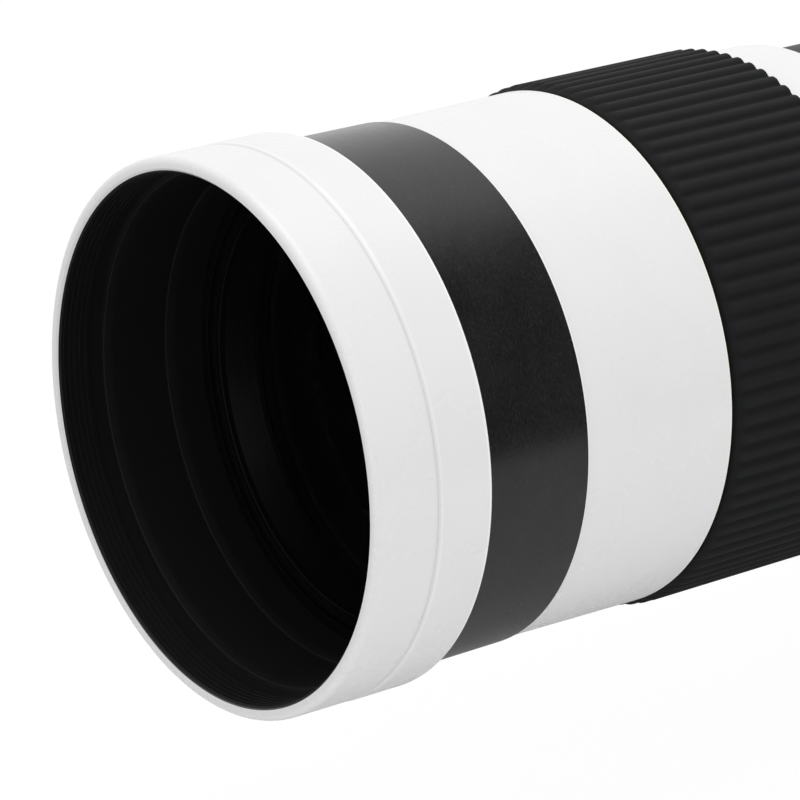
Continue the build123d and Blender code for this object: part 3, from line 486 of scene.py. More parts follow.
@dataclass
class FinishRack:
    """Every finish of the lens, each built once and kept under the name of its slot."""

    made: dict[str, Material] = field(default_factory=dict)

    def stock(self) -> None:
        """Builds the finishes."""
        black, worn = (0.0055, 0.0055, 0.006), (0.0115, 0.0115, 0.012)
        bore, bore_worn = (0.0030, 0.0030, 0.0033), (0.0065, 0.0065, 0.007)
        ring, ring_worn = (0.0026, 0.0026, 0.0028), (0.005, 0.005, 0.005)
        band_worn = (0.024, 0.024, 0.026)
        steel, steel_worn = (0.018, 0.018, 0.019), (0.05, 0.048, 0.046)
        finishes = {
            "white_paint": SatinPaint(),
            "black_anodised": Anodising("satin_black_anodising", black, worn, 0.27, 0.0018),
            "band_black": Anodising(
                "grained_black_band", black, band_worn, 0.24, 0.007, grain=Grain.BRUSHED, mark=0.14
            ),
            "tube_black": Anodising("matt_black_tube", black, worn, 0.5, 0.003, level=0.25),
            "bore_black": Anodising("matt_black_bore", bore, bore_worn, 0.6, 0.004, level=0.2),
            "retainer_black": Anodising("satin_black_retainer", ring, ring_worn, 0.26, 0.002, level=0.07),
            "bare_aluminium": BareMetal("turned_aluminium", (0.72, 0.73, 0.74), (0.52, 0.53, 0.55), 0.32),
            "grip_rubber": Rubber("focus_grip_rubber", 31.62),
            "zoom_rubber": Rubber("zoom_grip_rubber", 34.02),
            "optical_glass": CoatedGlass(),
            "brass": BareMetal("turned_brass", (0.74, 0.53, 0.23), (0.42, 0.28, 0.11), 0.3),
            "black_steel": Anodising("blackened_steel", steel, steel_worn, 0.38, 0.003, 0.6, Grain.EVEN),
            "steel": BareMetal("stainless_steel", (0.62, 0.62, 0.61), (0.40, 0.40, 0.40), 0.28),
            "felt": Fibre("black_wiper_felt", (0.008, 0.008, 0.009), (0.05, 0.05, 0.055), 0.08, 0.95),
            "nylon": Fibre("pale_nylon", (0.62, 0.60, 0.54), (0.74, 0.73, 0.68), 0.01, 0.5),
            "black_plastic": Moulded("black_knob_plastic", (0.013, 0.013, 0.014), (0.028, 0.028, 0.03)),
            "red_enamel": Moulded(
                "red_index_enamel", (0.55, 0.012, 0.010), (0.38, 0.010, 0.008), 0.3, 0.003
            ),
            "scale_ink": Moulded("black_scale_ink", (0.010, 0.010, 0.011), (0.03, 0.03, 0.03), 0.5, 0.002),
        }
        for slot, finish in finishes.items():
            self.made[slot] = finish.material()

    def __getitem__(self, slot: str) -> Material:
        """The finish of a slot."""
        return self.made[slot]


RACK = FinishRack()


def linked(name: str, data: bpy.types.ID) -> Piece:
    """Makes an object of a datablock and links it to the scene.

    Args:
        name: Name of the object.
        data: Its mesh, curve, lamp or camera.

    Returns:
        The object.
    """
    made = bpy.data.objects.new(name, data)
    bpy.context.scene.collection.objects.link(made)
    return made


def evaluated(piece: Piece) -> bpy.types.Mesh:
    """Works out an object's modifiers or text.

    Args:
        piece: The object.

    Returns:
        The result as a new mesh.
    """
    graph = bpy.context.evaluated_depsgraph_get()
    graph.update()
    return bpy.data.meshes.new_from_object(piece.evaluated_get(graph), depsgraph=graph)


def placed(place: Triple, turn: float) -> Matrix:
    """Shift to a place in millimetres, after a turn about X in radians."""
    return Matrix.Translation(Vector(place) * MM) @ Matrix.Rotation(turn, 4, "X")


def spot(angle: float, radius: float, station: float) -> Vector:
    """Point at an angle, radius and station, in metres."""
    turn = math.radians(angle)
    return Vector((radius * math.sin(turn), station, radius * math.cos(turn))) * MM
def rounded(corners: Sequence[Corner], steps: int = 5, support: float = 0.05) -> list[Point]:
    """Rounds the corners of a closed half section.

    Args:
        corners: (radius, station) of each corner, and its rounding where it has one.
        steps: Chords of a rounded corner.
        support: Distance of the points that hold a flat face flat.

    Returns:
        The outline's points, with supports beside every corner off the axis.
    """
    outline: list[Point] = []
    for index, corner in enumerate(corners):
        here = Vector(corner[:2])
        before = Vector(corners[index - 1][:2]) - here
        after = Vector(corners[(index + 1) % len(corners)][:2]) - here
        reach = corner[2] if len(corner) > 2 else 0.0
        start, end = (here + side.normalized() * reach for side in (before, after))
        shares = [step / steps for step in range(steps + 1)] if reach > 0.0 else [0.0]
        hold = reach + support
        if before.length > LONG_EDGE * hold:
            outline.append(tuple(here + before.normalized() * hold))
        for share in shares:
            outline.append(tuple(start.lerp(here, share).lerp(here.lerp(end, share), share)))
        if after.length > LONG_EDGE * hold:
            outline.append(tuple(here + after.normalized() * hold))
    return outline


def as_piece(name: str, mesh: bmesh.types.BMesh, finish: str, crease: float = 32.0) -> Piece:
    """Turns a bmesh into a smooth-shaded object.

    Args:
        name: Name of the object.
        mesh: Geometry in metres; it is freed here.
        finish: Slot of its finish.
        crease: Angle in degrees past which an edge stays sharp.

    Returns:
        The object, linked to the scene.
    """
    bmesh.ops.remove_doubles(mesh, verts=mesh.verts, dist=1e-7)
    bmesh.ops.recalc_face_normals(mesh, faces=mesh.faces)
    data = bpy.data.meshes.new(name)
    mesh.to_mesh(data)
    mesh.free()
    data.shade_smooth()
    data.set_sharp_from_angle(angle=math.radians(crease))
    data.materials.append(RACK[finish])
    return linked(name, data)


def turned(name: str, outline: Sequence[Point], finish: str, slices: int = 288) -> Piece:
    """Turns a closed half section round the optical axis.

    Args:
        name: Name of the object.
        outline: (radius, station) points in millimetres.
        finish: Slot of its finish.
        slices: Steps of a full turn.

    Returns:
        The turned object.
    """
    mesh = bmesh.new()
    rings = [
        [mesh.verts.new(spot(360.0 * step / slices, *point)) for point in outline] for step in range(slices)
    ]
    for ring, following in zip(rings, rings[1:] + rings[:1]):
        for index, (radius, _) in enumerate(outline):
            other = (index + 1) % len(outline)
            if max(radius, outline[other][0]) > 1e-6:
                mesh.faces.new((ring[index], ring[other], following[other], following[index]))
    return as_piece(name, mesh, finish)


def softened(name: str, node: str, finish: str, width: float) -> Piece:
    """Copies a node's solid and rounds its edges.

    Args:
        name: Name of the copy.
        node: Node whose mesh is copied.
        finish: Slot of its finish.
        width: Width of the rounding in millimetres.

    Returns:
        The rounded copy.
    """
    flat, limit = math.radians(0.8), math.radians(28.0)
    mesh = bmesh.new()
    mesh.from_mesh(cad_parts[node].data)
    bmesh.ops.remove_doubles(mesh, verts=mesh.verts, dist=2e-6)
    bmesh.ops.dissolve_limit(mesh, angle_limit=flat, verts=mesh.verts, edges=mesh.edges)
    sharp = [edge for edge in mesh.edges if edge.is_manifold and edge.calc_face_angle(0.0) > limit]
    rounding = {"offset": width * MM, "offset_type": "OFFSET", "segments": 3, "profile": 0.5}
    bmesh.ops.bevel(mesh, geom=sharp, affect="EDGES", clamp_overlap=True, **rounding)
    return as_piece(name, mesh, finish, 24.0)


def seated(piece: Piece, body: str, slot: str, *nodes: str) -> Piece:
    """Puts a piece on its body, in place of the nodes that it stands for.

    Args:
        piece: Finished piece, with its place in its mesh.
        body: Body that it rides on.
        slot: Slot of its finish; not used.
        nodes: Nodes that it replaces.

    Returns:
        The same piece.
    """
    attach(piece, body)
    if nodes:
        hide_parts(*nodes)
    log.info("%s rides on %s", piece.name, body)
    return piece


def lathed(
    name: str, corners: Sequence[Corner], finish: str, body: str, *nodes: str,
    slot: str = "", slices: int = 360, steps: int = 5, support: float = 0.05,
) -> Piece:
    """Rounds a half section, turns it and seats the piece on its body, in place of the nodes."""
    piece = turned(name, rounded(corners, steps, support), finish, slices)
    return seated(piece, body, slot or finish, *nodes)


def dressed(node: str, finish: str) -> None:
    """Gives a node that keeps its solid's shape its finish.

    Args:
        node: The node.
        finish: Slot of its finish.
    """
    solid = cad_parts[node]
    if not solid.material_slots:
        solid.data.materials.append(RACK[finish])
    for slot in solid.material_slots:
        slot.material = RACK[finish]
    log.info("%s keeps its solid, in %s", node, finish)


class Pattern(Wiring):
    """A geometry node tree with named inputs that makes what repeats."""

    def __init__(self, name: str, sizes: Iterable[str]) -> None:
        """Starts the tree with a geometry input and output, sizes and a material.

        Args:
            name: Name of the tree.
            sizes: Names of its number inputs.
        """
        self.tree = bpy.data.node_groups.new(name, "GeometryNodeTree")
        face = self.tree.interface
        face.new_socket(name="Geometry", in_out="OUTPUT", socket_type="NodeSocketGeometry")
        kinds = {"Geometry": "Geometry", **dict.fromkeys(sizes, "Float"), "Material": "Material"}
        self.sockets = {
            socket: face.new_socket(name=socket, in_out="INPUT", socket_type=f"NodeSocket{kind}").identifier
            for socket, kind in kinds.items()
        }
        self.entry = self.tree.nodes.new("NodeGroupInput")

    def given(self, name: str) -> Term:
        """One of the tree's named inputs."""
        return Term(self, self.entry.outputs[name])

    def close(self, geometry: Term) -> None:
        """Ends the tree with real geometry in its material.

        Args:
            geometry: What the tree has made.
        """
        solid = self.node("GeometryNodeRealizeInstances", inputs={"Geometry": geometry})
        paint = {"Geometry": solid, "Material": self.given("Material")}
        painted = self.node("GeometryNodeSetMaterial", inputs=paint)
        self.node("NodeGroupOutput", inputs={"Geometry": painted})

    def grown(self, piece: Piece, finish: str, **sizes: float) -> Piece:
        """Runs the tree on a piece and keeps the result as a plain mesh.

        Args:
            piece: Object whose mesh the tree starts from.
            finish: Slot of the finish.
            sizes: Value of each named input, with _ for a space.

        Returns:
            The piece with its new mesh and no modifier.
        """
        modifier = piece.modifiers.new(self.tree.name, "NODES")
        modifier.node_group = self.tree
        for name, value in sizes.items():
            modifier[self.sockets[name.replace("_", " ")]] = float(value)
        modifier[self.sockets["Material"]] = RACK[finish]
        data = evaluated(piece)
        piece.modifiers.clear()
        piece.data = data
        data.name = piece.name
        return piece


def rib_pattern() -> Pattern:
    """Raises rounded ribs on a turned sleeve.

    Returns:
        The tree, whose Height is that of a rib's crest above the valleys.
    """
    flatness, valley_level, crest_gain, fullness = 0.06, 0.245, 1.274, 1.25
    tree = Pattern("rounded_ribs", ["Count", "Height", "Valley", "Front", "Ramp", "Phase"])
    valley, front = tree.given("Valley"), tree.given("Front")
    place = tree.node("GeometryNodeInputPosition")
    parts = tree.node("ShaderNodeSeparateXYZ", inputs={0: place}).socket.node.outputs
    across, along, up = (Term(tree, part) for part in parts)
    radius = (across * across + up * up).root()
    turn = across.angle_to(up) - tree.given("Phase")
    wave = (turn * tree.given("Count") * 0.5).cosine()
    soft = ((wave * wave + flatness).root() - valley_level) * crest_gain
    crest = 1.0 - (1.0 - soft).size().power(fullness)
    on_top = radius.step(valley - 0.30 * MM, valley - 0.02 * MM)
    begun = along.step(front, front + tree.given("Ramp"))
    lift = crest * on_top * begun * tree.given("Height") / radius
    outward = tree.node("ShaderNodeCombineXYZ", inputs={0: across * lift, 2: up * lift})
    sleeve = {"Geometry": tree.given("Geometry"), "Offset": outward}
    tree.close(tree.node("GeometryNodeSetPosition", inputs=sleeve))
    return tree


def thread_pattern() -> Pattern:
    """Winds a screw thread's ridge round the optical axis.

    Returns:
        The tree, whose Ridge is half the ridge's width.
    """
    tree = Pattern("screw_thread", ["Radius", "Turns", "Pitch", "Station", "Ridge"])
    radius, turns = tree.given("Radius"), tree.given("Turns")
    spiral = {
        "Resolution": 120,
        "Rotations": turns,
        "Start Radius": radius,
        "End Radius": radius,
        "Height": turns * tree.given("Pitch"),
    }
    path = tree.node("GeometryNodeCurveSpiral", inputs=spiral)
    circle = {"Resolution": 6, "Radius": tree.given("Ridge")}
    section = tree.node("GeometryNodeCurvePrimitiveCircle", inputs=circle)
    sweep = {"Curve": path, "Profile Curve": section, "Fill Caps": True}
    ridge = tree.node("GeometryNodeCurveToMesh", inputs=sweep)
    shift = tree.node("ShaderNodeCombineXYZ", inputs={1: tree.given("Station")})
    pose = {"Geometry": ridge, "Translation": shift, "Rotation": (-math.pi / 2, 0.0, 0.0)}
    tree.close(tree.node("GeometryNodeTransform", inputs=pose))
    return tree


def ring_pattern() -> Pattern:
    """Sets copies of a part evenly on a circle, facing outward.

    Returns:
        The tree, whose First and Step are angles in radians.
    """
    tree = Pattern("ring_of_parts", ["Count", "Radius", "Station", "First", "Step"])
    points = tree.node("GeometryNodePoints", inputs={"Count": tree.given("Count")})
    turn = tree.given("First") + tree.given("Step") * tree.node("GeometryNodeInputIndex")
    radius, station = tree.given("Radius"), tree.given("Station")
    circle = {0: turn.sine() * radius, 1: station, 2: turn.cosine() * radius}
    place = tree.node("ShaderNodeCombineXYZ", inputs=circle)
    spread = tree.node("GeometryNodeSetPosition", inputs={"Geometry": points, "Position": place})
    facing = tree.node("ShaderNodeCombineXYZ", inputs={1: turn})
    copies = {"Points": spread, "Instance": tree.given("Geometry"), "Rotation": facing}
    tree.close(tree.node("GeometryNodeInstanceOnPoints", inputs=copies))
    return tree


@dataclass
class Trees:
    """The geometry node trees, built once."""

    ribs: Pattern = field(default_factory=rib_pattern)
    thread: Pattern = field(default_factory=thread_pattern)
    ring: Pattern = field(default_factory=ring_pattern)


def wound_thread(
    name: str, finish: str, trees: Trees, radius: float, run: Point, pitch: float, ridge: float
) -> Piece:
    """Winds a thread's ridge between two stations.

    Args:
        name: Name of the object.
        finish: Slot of its finish.
        trees: Geometry node trees.
        radius: Radius of the ridge's middle in millimetres.
        run: Stations of its ends.
        pitch: Pitch of the thread.
        ridge: Half width of the ridge.

    Returns:
        The ridge as an object of its own.
    """
    front, rear = run
    return trees.thread.grown(
        linked(name, bpy.data.meshes.new(name)),
        finish,
        Radius=radius * MM,
        Turns=(rear - front - 2 * ridge) / pitch,
        Pitch=pitch * MM,
        Station=(front + ridge) * MM,
        Ridge=ridge * MM,
    )


def socket_screw(
    name: str, finish: str, radius: float, length: float, key: float, depth: float
) -> Piece:
    """Makes a screw that points up its Z axis, its face at the origin, with a hexagon socket.

    Args:
        name: Name of the object.
        finish: Slot of its finish.
        radius: Radius of the head in millimetres.
        length: Length below the face.
        key: Radius of the hexagon's corners.
        depth: Depth of the socket.

    Returns:
        The screw.
    """
    sides, half_flat = 24, math.pi / 6
    edge = 0.12 * radius
    head = [
        (0.0, -length), (radius, -length), (radius, -edge), (radius - 0.3 * edge, -0.3 * edge),
        (radius - edge, 0.0), (key * 1.1, 0.0),
    ]
    socket = [(key, -0.04 * radius), (key, -depth), (0.0, -depth - 0.3 * key)]
    mesh = bmesh.new()
    rings = []
    for number, (reach, height) in enumerate(head + socket):
        ring = []
        for step in range(sides):
            turn = math.tau * step / sides
            local = reach
            if number >= len(head):
                local = reach * math.cos(half_flat) / math.cos(turn % (2 * half_flat) - half_flat)
            corner = (local * math.cos(turn), local * math.sin(turn), height)
            ring.append(mesh.verts.new([part * MM for part in corner]))
        rings.append(ring)
    for lower, upper in zip(rings, rings[1:]):
        for step in range(sides):
            other = (step + 1) % sides
            mesh.faces.new((lower[step], lower[other], upper[other], upper[step]))
    return as_piece(name, mesh, finish)


def ring_of(
    piece: Piece, finish: str, trees: Trees, count: int, radius: float, station: float,
    first: float = 0.0, step: float | None = None,
) -> Piece:
    """Repeats a part round the axis with the ring tree.

    Args:
        piece: The part, upright at the origin.
        finish: Slot of its finish.
        trees: Geometry node trees.
        count: Number of copies.
        radius: Distance of their origins from the axis, in millimetres.
        station: Their station.
        first: Angle of the first copy in degrees.
        step: Angle from one to the next, an even share of the turn where it isn't given.

    Returns:
        The piece, now the whole ring.
    """
    return trees.ring.grown(
        piece,
        finish,
        Count=count,
        Radius=radius * MM,
        Station=station * MM,
        First=math.radians(first),
        Step=math.radians(360.0 / count if step is None else step),
    )


@dataclass
class FrontRings:
    """White rim, front collar, black band and white sleeve that turn with the focus ring."""

    trees: Trees
    body: str = "focus_unit"
    rim: float = -244.0
    filter_rear: float = -235.59
    mouth: float = -238.0
    band_front: float = -228.22
    sleeve_front: float = -213.48
    grip_front: float = -192.38
    grip_rear: float = -166.15
    thread_radius: float = 31.0
    thread_rear: float = -239.4
    shell_bore: float = 31.62
    lip_bore: float = 31.5
    ring_radius: float = 32.79
    collar_radius: float = 32.87
    band_radii: Point = (31.46, 31.38)
    sleeve_radii: Point = (31.13, 31.39)
    bores: Corner = (28.3, 29.8, 30.3, 30.6)

    def build(self) -> None:
        """Makes the turned rings and the bore behind the rim."""
        self.filter_ring()
        self.collar_and_band()
        self.barrel()

    def filter_ring(self) -> None:
        """Makes the rim's white shell, its black threaded lining and the thread."""
        rim, rear, outer, lip = self.rim, self.filter_rear, self.ring_radius, self.lip_bore - 0.28
        shell = [
            (self.lip_bore, rim, 0.08), (outer, rim, 0.95), (outer, rear - 0.45, 0.40),
            (outer - 0.09, rear, 0.02), (self.shell_bore, rear), (self.shell_bore, rim + 0.50),
            (lip, rim + 0.36), (lip, rim + 0.28, 0.03),
        ]
        lathed("rim_shell", shell, "white_paint", self.body, "filter_ring", steps=6)
        outer, bore, relief = self.shell_bore - 0.01, self.thread_radius, self.thread_radius + 0.14
        lining = [
            (self.lip_bore - 0.30, rim + 0.34), (outer, rim + 0.52), (outer, rear), (bore, rear),
            (bore, self.mouth), (relief, self.mouth), (relief, self.thread_rear),
            (bore + 0.02, self.thread_rear - 0.1, 0.03), (bore + 0.02, rim + 0.52, 0.04),
        ]
        lathed("rim_lining", lining, "bore_black", self.body, slices=300, steps=3, support=0.03)
        run = (rim + 0.45, self.thread_rear)
        thread = wound_thread(
            "filter_thread_ridge", "bore_black", self.trees, bore, run, pitch=0.75, ridge=0.05
        )
        seated(thread, self.body, "bore_black")

    def collar_and_band(self) -> None:
        """Makes the second white ring and the black trim behind it."""
        front, rear, bore = self.filter_rear + 0.003, self.band_front, self.thread_radius
        collar = [
            (bore, front), (self.collar_radius - 0.16, front, 0.02),
            (self.collar_radius, front + 0.48, 0.38), (self.collar_radius, rear, 0.38), (bore, rear),
        ]
        lathed("front_collar_ring", collar, "white_paint", self.body, "front_collar", steps=6)
        front, rear = self.band_front + 0.02, self.sleeve_front - 0.02
        first, last = self.band_radii
        band = [(bore, front), (first, front, 0.05), (last, rear, 0.08), (bore, rear)]
        slot = "black_anodised"
        lathed("black_trim_band", band, "band_black", self.body, "focus_band", slot=slot, steps=3)

    def barrel(self) -> None:
        """Makes the white sleeve and the black barrel that it is turned from."""
        front, rear = self.sleeve_front, self.grip_front
        first, last = self.sleeve_radii
        glass, felt, tube, seat = self.bores
        sleeve = [(seat, front + 0.01), (first, front + 0.01, 0.10), (last, rear, 0.06), (seat, rear)]
        lathed("white_sleeve", sleeve, "white_paint", self.body, "focus_barrel")
        inner = [
            (30.1, self.mouth + 1.1, 0.35), (30.24, self.mouth + 0.1, 0.08), (tube, self.mouth, 0.03),
            (30.98, self.mouth), (30.98, front), (seat, front), (seat, rear - 0.02),
            (30.75, rear + 0.02), (30.75, self.grip_rear), (tube, self.grip_rear), (tube, -161.95),
            (felt, -161.95), (felt, -192.48), (tube, -192.48), (tube, -211.53), (felt, -211.53),
            (felt, -219.7), (glass, -219.7), (glass, -221.2), (29.7, -221.2), (29.7, -228.25, 0.35),
            (29.84, -229.25, 0.08), (29.9, -229.35, 0.03), (30.1, -229.35),
        ]
        lathed("barrel_bore", inner, "bore_black", self.body, slices=300, steps=3)


@dataclass
class RibbedGrip:
    """Rubber sleeve with rounded ribs behind a plain front lip."""

    trees: Trees
    name: str
    node: str
    body: str
    finish: str
    bore: float
    valley: float
    front: float
    rear: float
    height: float = 0.42
    gap: float = 0.12
    lip: float = 0.25
    ramp: float = 1.7
    ribs: int = 90
    rib_slices: int = 10
    phase: float = 2.0

    def build(self) -> None:
        """Turns the sleeve and raises its ribs."""
        start = self.front + self.gap
        outline = rounded(
            [
                (self.bore, start), (self.valley - 0.22, start, 0.10), (self.valley, start + 1.1, 0.8),
                (self.valley, self.rear, 0.16), (self.bore, self.rear),
            ],
            4,
        )
        full = self.front + self.lip + self.ramp
        rises = [full + (self.rear - full) * share for share in (0.33, 0.66)]
        dense: list[Point] = []
        for here, following in zip(outline, outline[1:] + outline[:1]):
            dense.append(here)
            on_top = min(here[0], following[0]) > self.valley - 0.01
            if on_top and abs(following[1] - here[1]) > 1.0:
                ahead = following[1] > here[1]
                dense += [(self.valley, place) for place in (rises if ahead else rises[::-1])]
        piece = turned(self.name, dense, self.finish, self.ribs * self.rib_slices)
        self.trees.ribs.grown(
            piece,
            self.finish,
            Count=self.ribs,
            Height=self.height * MM,
            Valley=self.valley * MM,
            Front=(self.front + self.lip) * MM,
            Ramp=self.ramp * MM,
            Phase=math.radians(self.phase),
        )
        piece.data.shade_smooth()
        seated(piece, self.body, "grip_rubber", self.node)


@dataclass
class FrontOptics:
    """Front glass in its cell, behind a sloping retainer and a lock ring."""

    body: str = "front_group"
    cell_front: float = -224.0
    cell_rear: float = -197.96
    cell_radius: float = 28.0
    flange: Point = (-222.85, -221.35)
    glass_front: float = -218.75
    glass_edge: float = 26.6
    glass_steps: int = 24
    lock: Point = (-224.3, -223.0)
    grooves: int = 9
    groove_depth: float = 0.14
    groove_half: float = 0.02
    groove_run: float = 3.0
    groove_limit: float = 26.4

    def build(self) -> None:
        """Makes the cell, the retainer, the lock ring and the two elements."""
        front, rear, radius = self.cell_front, self.cell_rear, self.cell_radius
        cell = [
            (27.22, front, 0.05), (radius, front, 0.10), (radius, self.flange[0]),
            (29.55, self.flange[0], 0.08), (29.55, self.flange[1], 0.08), (radius, self.flange[1]),
            (radius, rear), (25.3, rear), (25.3, -206.36), (26.62, -206.36),
            (26.62, self.glass_front + 0.01), (27.22, self.glass_front + 0.01),
        ]
        black = {"slot": "bore_black", "slices": 300}
        lathed("front_cell_body", cell, "retainer_black", self.body, "front_cell", steps=3, **black)
        seat = self.glass_front - 0.01
        retainer = [(26.3, front, 0.12), (27.2, front, 0.06), (27.2, seat), (25.27, seat, 0.08)]
        piece = turned("glass_retainer", self.grooved(rounded(retainer, 4)), "retainer_black", 300)
        seated(piece, self.body, "bore_black", "front_retainer")
        front, rear = self.lock
        lock = [(28.3, front, 0.06), (29.68, front, 0.06), (29.68, rear), (28.3, rear)]
        lathed("cell_lock_collar", lock, "retainer_black", "focus_unit", "cell_lock_ring", steps=3, **black)
        self.element("crown_element", "crown_lens", front=125.0, rear=-110.0)
        self.element("flint_element", "flint_lens", front=-112.0, rear=0.0)

    def grooved(self, outline: list[Point]) -> list[Point]:
        """Cuts light-trap steps into the retainer's sloping bore.

        Args:
            outline: Rounded half section of the retainer.

        Returns:
            The half section with its steps.
        """
        cut: list[Point] = []
        for here, following in zip(outline, outline[1:] + outline[:1]):
            cut.append(here)
            slopes = here[1] - following[1] > self.groove_run
            if slopes and max(here[0], following[0]) < self.groove_limit:
                for step in range(1, self.grooves):
                    share = step / self.grooves
                    radius = here[0] + (following[0] - here[0]) * share
                    station = here[1] + (following[1] - here[1]) * share
                    cut.append((radius + self.groove_depth, station + self.groove_half))
                    cut.append((radius, station - self.groove_half))
        return cut

    def element(self, name: str, node: str, front: float, rear: float) -> None:
        """Makes one element.

        Args:
            name: Name of the piece.
            node: Node that it replaces.
            front: Radius of the front surface, negative where it is hollow.
            rear: Radius of the rear surface, negative where it bulges, 0 where it is flat.
        """
        low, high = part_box(node)
        first, last = low.y / MM, high.y / MM
        reaches = [self.glass_edge * step / self.glass_steps for step in range(self.glass_steps + 1)]
        if front < 0:
            first += self.sag(-front, self.glass_edge)
        bulge = math.copysign(1.0, front)
        outline = [(reach, first + bulge * self.sag(abs(front), reach)) for reach in reaches]
        outline += [(reach, last - (self.sag(-rear, reach) if rear else 0.0)) for reach in reaches[::-1]]
        piece = turned(name, outline, "optical_glass", 180)
        piece.data.materials.append(RACK["bore_black"])
        for face in piece.data.polygons:
            side = math.hypot(face.center.x, face.center.z) / MM
            face.material_index = int(side > self.glass_edge - 0.3 and abs(face.normal.y) < EDGE_SLOPE)
        seated(piece, self.body, "optical_glass", node)

    @staticmethod
    def sag(curve: float, reach: float) -> float:
        """Depth of a spherical surface at a distance from its axis."""
        return curve - math.sqrt(curve * curve - reach * reach)


@dataclass
class TubeAndRing:
    """Black zoom tube that slides out of the barrel, and the white ring that wipes it."""

    front: float = -166.15
    rear: float = -156.30
    felt_front: float = -160.45
    ring_radius: float = 30.89
    tube_bore: float = 28.15
    tube_radius: float = 29.5
    tube_front: float = -219.0
    tube_rear: float = -54.0

    def build(self) -> None:
        """Makes the rear ring and the tube."""
        ring = [
            (30.32, self.front), (self.ring_radius, self.front, 0.08), (self.ring_radius, self.rear, 0.30),
            (29.8, self.rear, 0.10), (29.8, self.felt_front), (30.32, self.felt_front),
        ]
        lathed("grip_rear_collar", ring, "white_paint", "focus_unit", "grip_rear_ring")
        bore, radius, front, rear = self.tube_bore, self.tube_radius, self.tube_front, self.tube_rear
        tube = [(bore, front), (radius, front, 0.2), (radius, rear, 0.2), (bore, rear)]
        lathed("sliding_zoom_tube", tube, "tube_black", "sliding_tube", "zoom_tube", slot="black_anodised")


@dataclass
class ZoomRing:
    """White zoom ring with a black focal scale on its rear lip."""

    trees: Trees
    body: str = "zoom_drive"
    front: float = -127.85
    grip_front: float = -121.85
    grip_rear: float = -95.15
    rear: float = -84.15
    radius: float = 33.8
    seat: float = 33.15
    bore: float = 32.22
    marks: tuple[int, ...] = (420, 500, 600, 700, 800)
    turn: float = 90.0
    mark_height: float = 3.7
    digit_share: float = 0.7
    longest_edge: float = 0.5
    mark_station: float = -89.1
    stroke_half: float = 0.22
    stroke_stations: Point = (-86.4, -84.65)

    def build(self) -> None:
        """Makes the ring, its focal numbers and the strokes beside them."""
        shell = [
            (self.bore, self.front), (self.radius, self.front, 0.4),
            (self.radius, self.grip_front, 0.12), (self.seat, self.grip_front),
            (self.seat, self.grip_rear), (self.radius, self.grip_rear, 0.12),
            (self.radius, self.rear, 0.4), (self.bore, self.rear),
        ]
        lathed("zoom_ring_shell", shell, "white_paint", self.body, "zoom_ring")
        stride = self.turn / (len(self.marks) - 1)
        for place, mark in enumerate(self.marks):
            seated(self.number(mark, -place * stride), self.body, "black_plastic")
        stroke = self.stroke()
        ring_of(stroke, "scale_ink", self.trees, 2 * len(self.marks) - 1, 0.0, 0.0, 0.0, -stride / 2)
        seated(stroke, self.body, "black_plastic")

    def number(self, mark: int, angle: float) -> Piece:
        """Lays one focal number on the ring.

        Args:
            mark: Focal length.
            angle: Place of its middle round the ring.

        Returns:
            The number as a thin raised print.
        """
        curve = bpy.data.curves.new(f"focal_{mark}", "FONT")
        curve.body = str(mark)
        curve.size = self.mark_height / self.digit_share
        curve.align_x = curve.align_y = "CENTER"
        curve.extrude = 0.02
        curve.resolution_u = 6
        source = linked(curve.name, curve)
        mesh = bmesh.new()
        mesh.from_mesh(evaluated(source))
        bpy.data.objects.remove(source)
        for _ in range(2):
            long_edges = [edge for edge in mesh.edges if edge.calc_length() > self.longest_edge]
            bmesh.ops.subdivide_edges(mesh, edges=long_edges, cuts=1)
        for vert in mesh.verts:
            turn = angle - math.degrees(vert.co.x / self.radius)
            reach = self.radius + 0.005 + vert.co.z
            vert.co = spot(turn, reach, self.mark_station - vert.co.y)
        return as_piece(f"focal_mark_{mark}", mesh, "scale_ink")

    def stroke(self) -> Piece:
        """Makes the stroke at the top of the ring, bent to its radius.

        Returns:
            The stroke as a thin raised print.
        """
        mesh = bmesh.new()
        low, high = self.radius - 0.05, self.radius + 0.022
        front, rear = self.stroke_stations
        corners = ((low, front), (high, front), (high, rear), (low, rear))
        columns = []
        for share in (-1.0, -0.5, 0.0, 0.5, 1.0):
            angle = math.degrees(share * self.stroke_half / self.radius)
            columns.append([mesh.verts.new(spot(angle, *corner)) for corner in corners])
        for left, right in zip(columns, columns[1:]):
            for index in range(4):
                other = (index + 1) % 4
                mesh.faces.new((left[index], left[other], right[other], right[index]))
        mesh.faces.new(columns[0])
        mesh.faces.new(columns[-1])
        return as_piece("zoom_scale_strokes", mesh, "scale_ink")


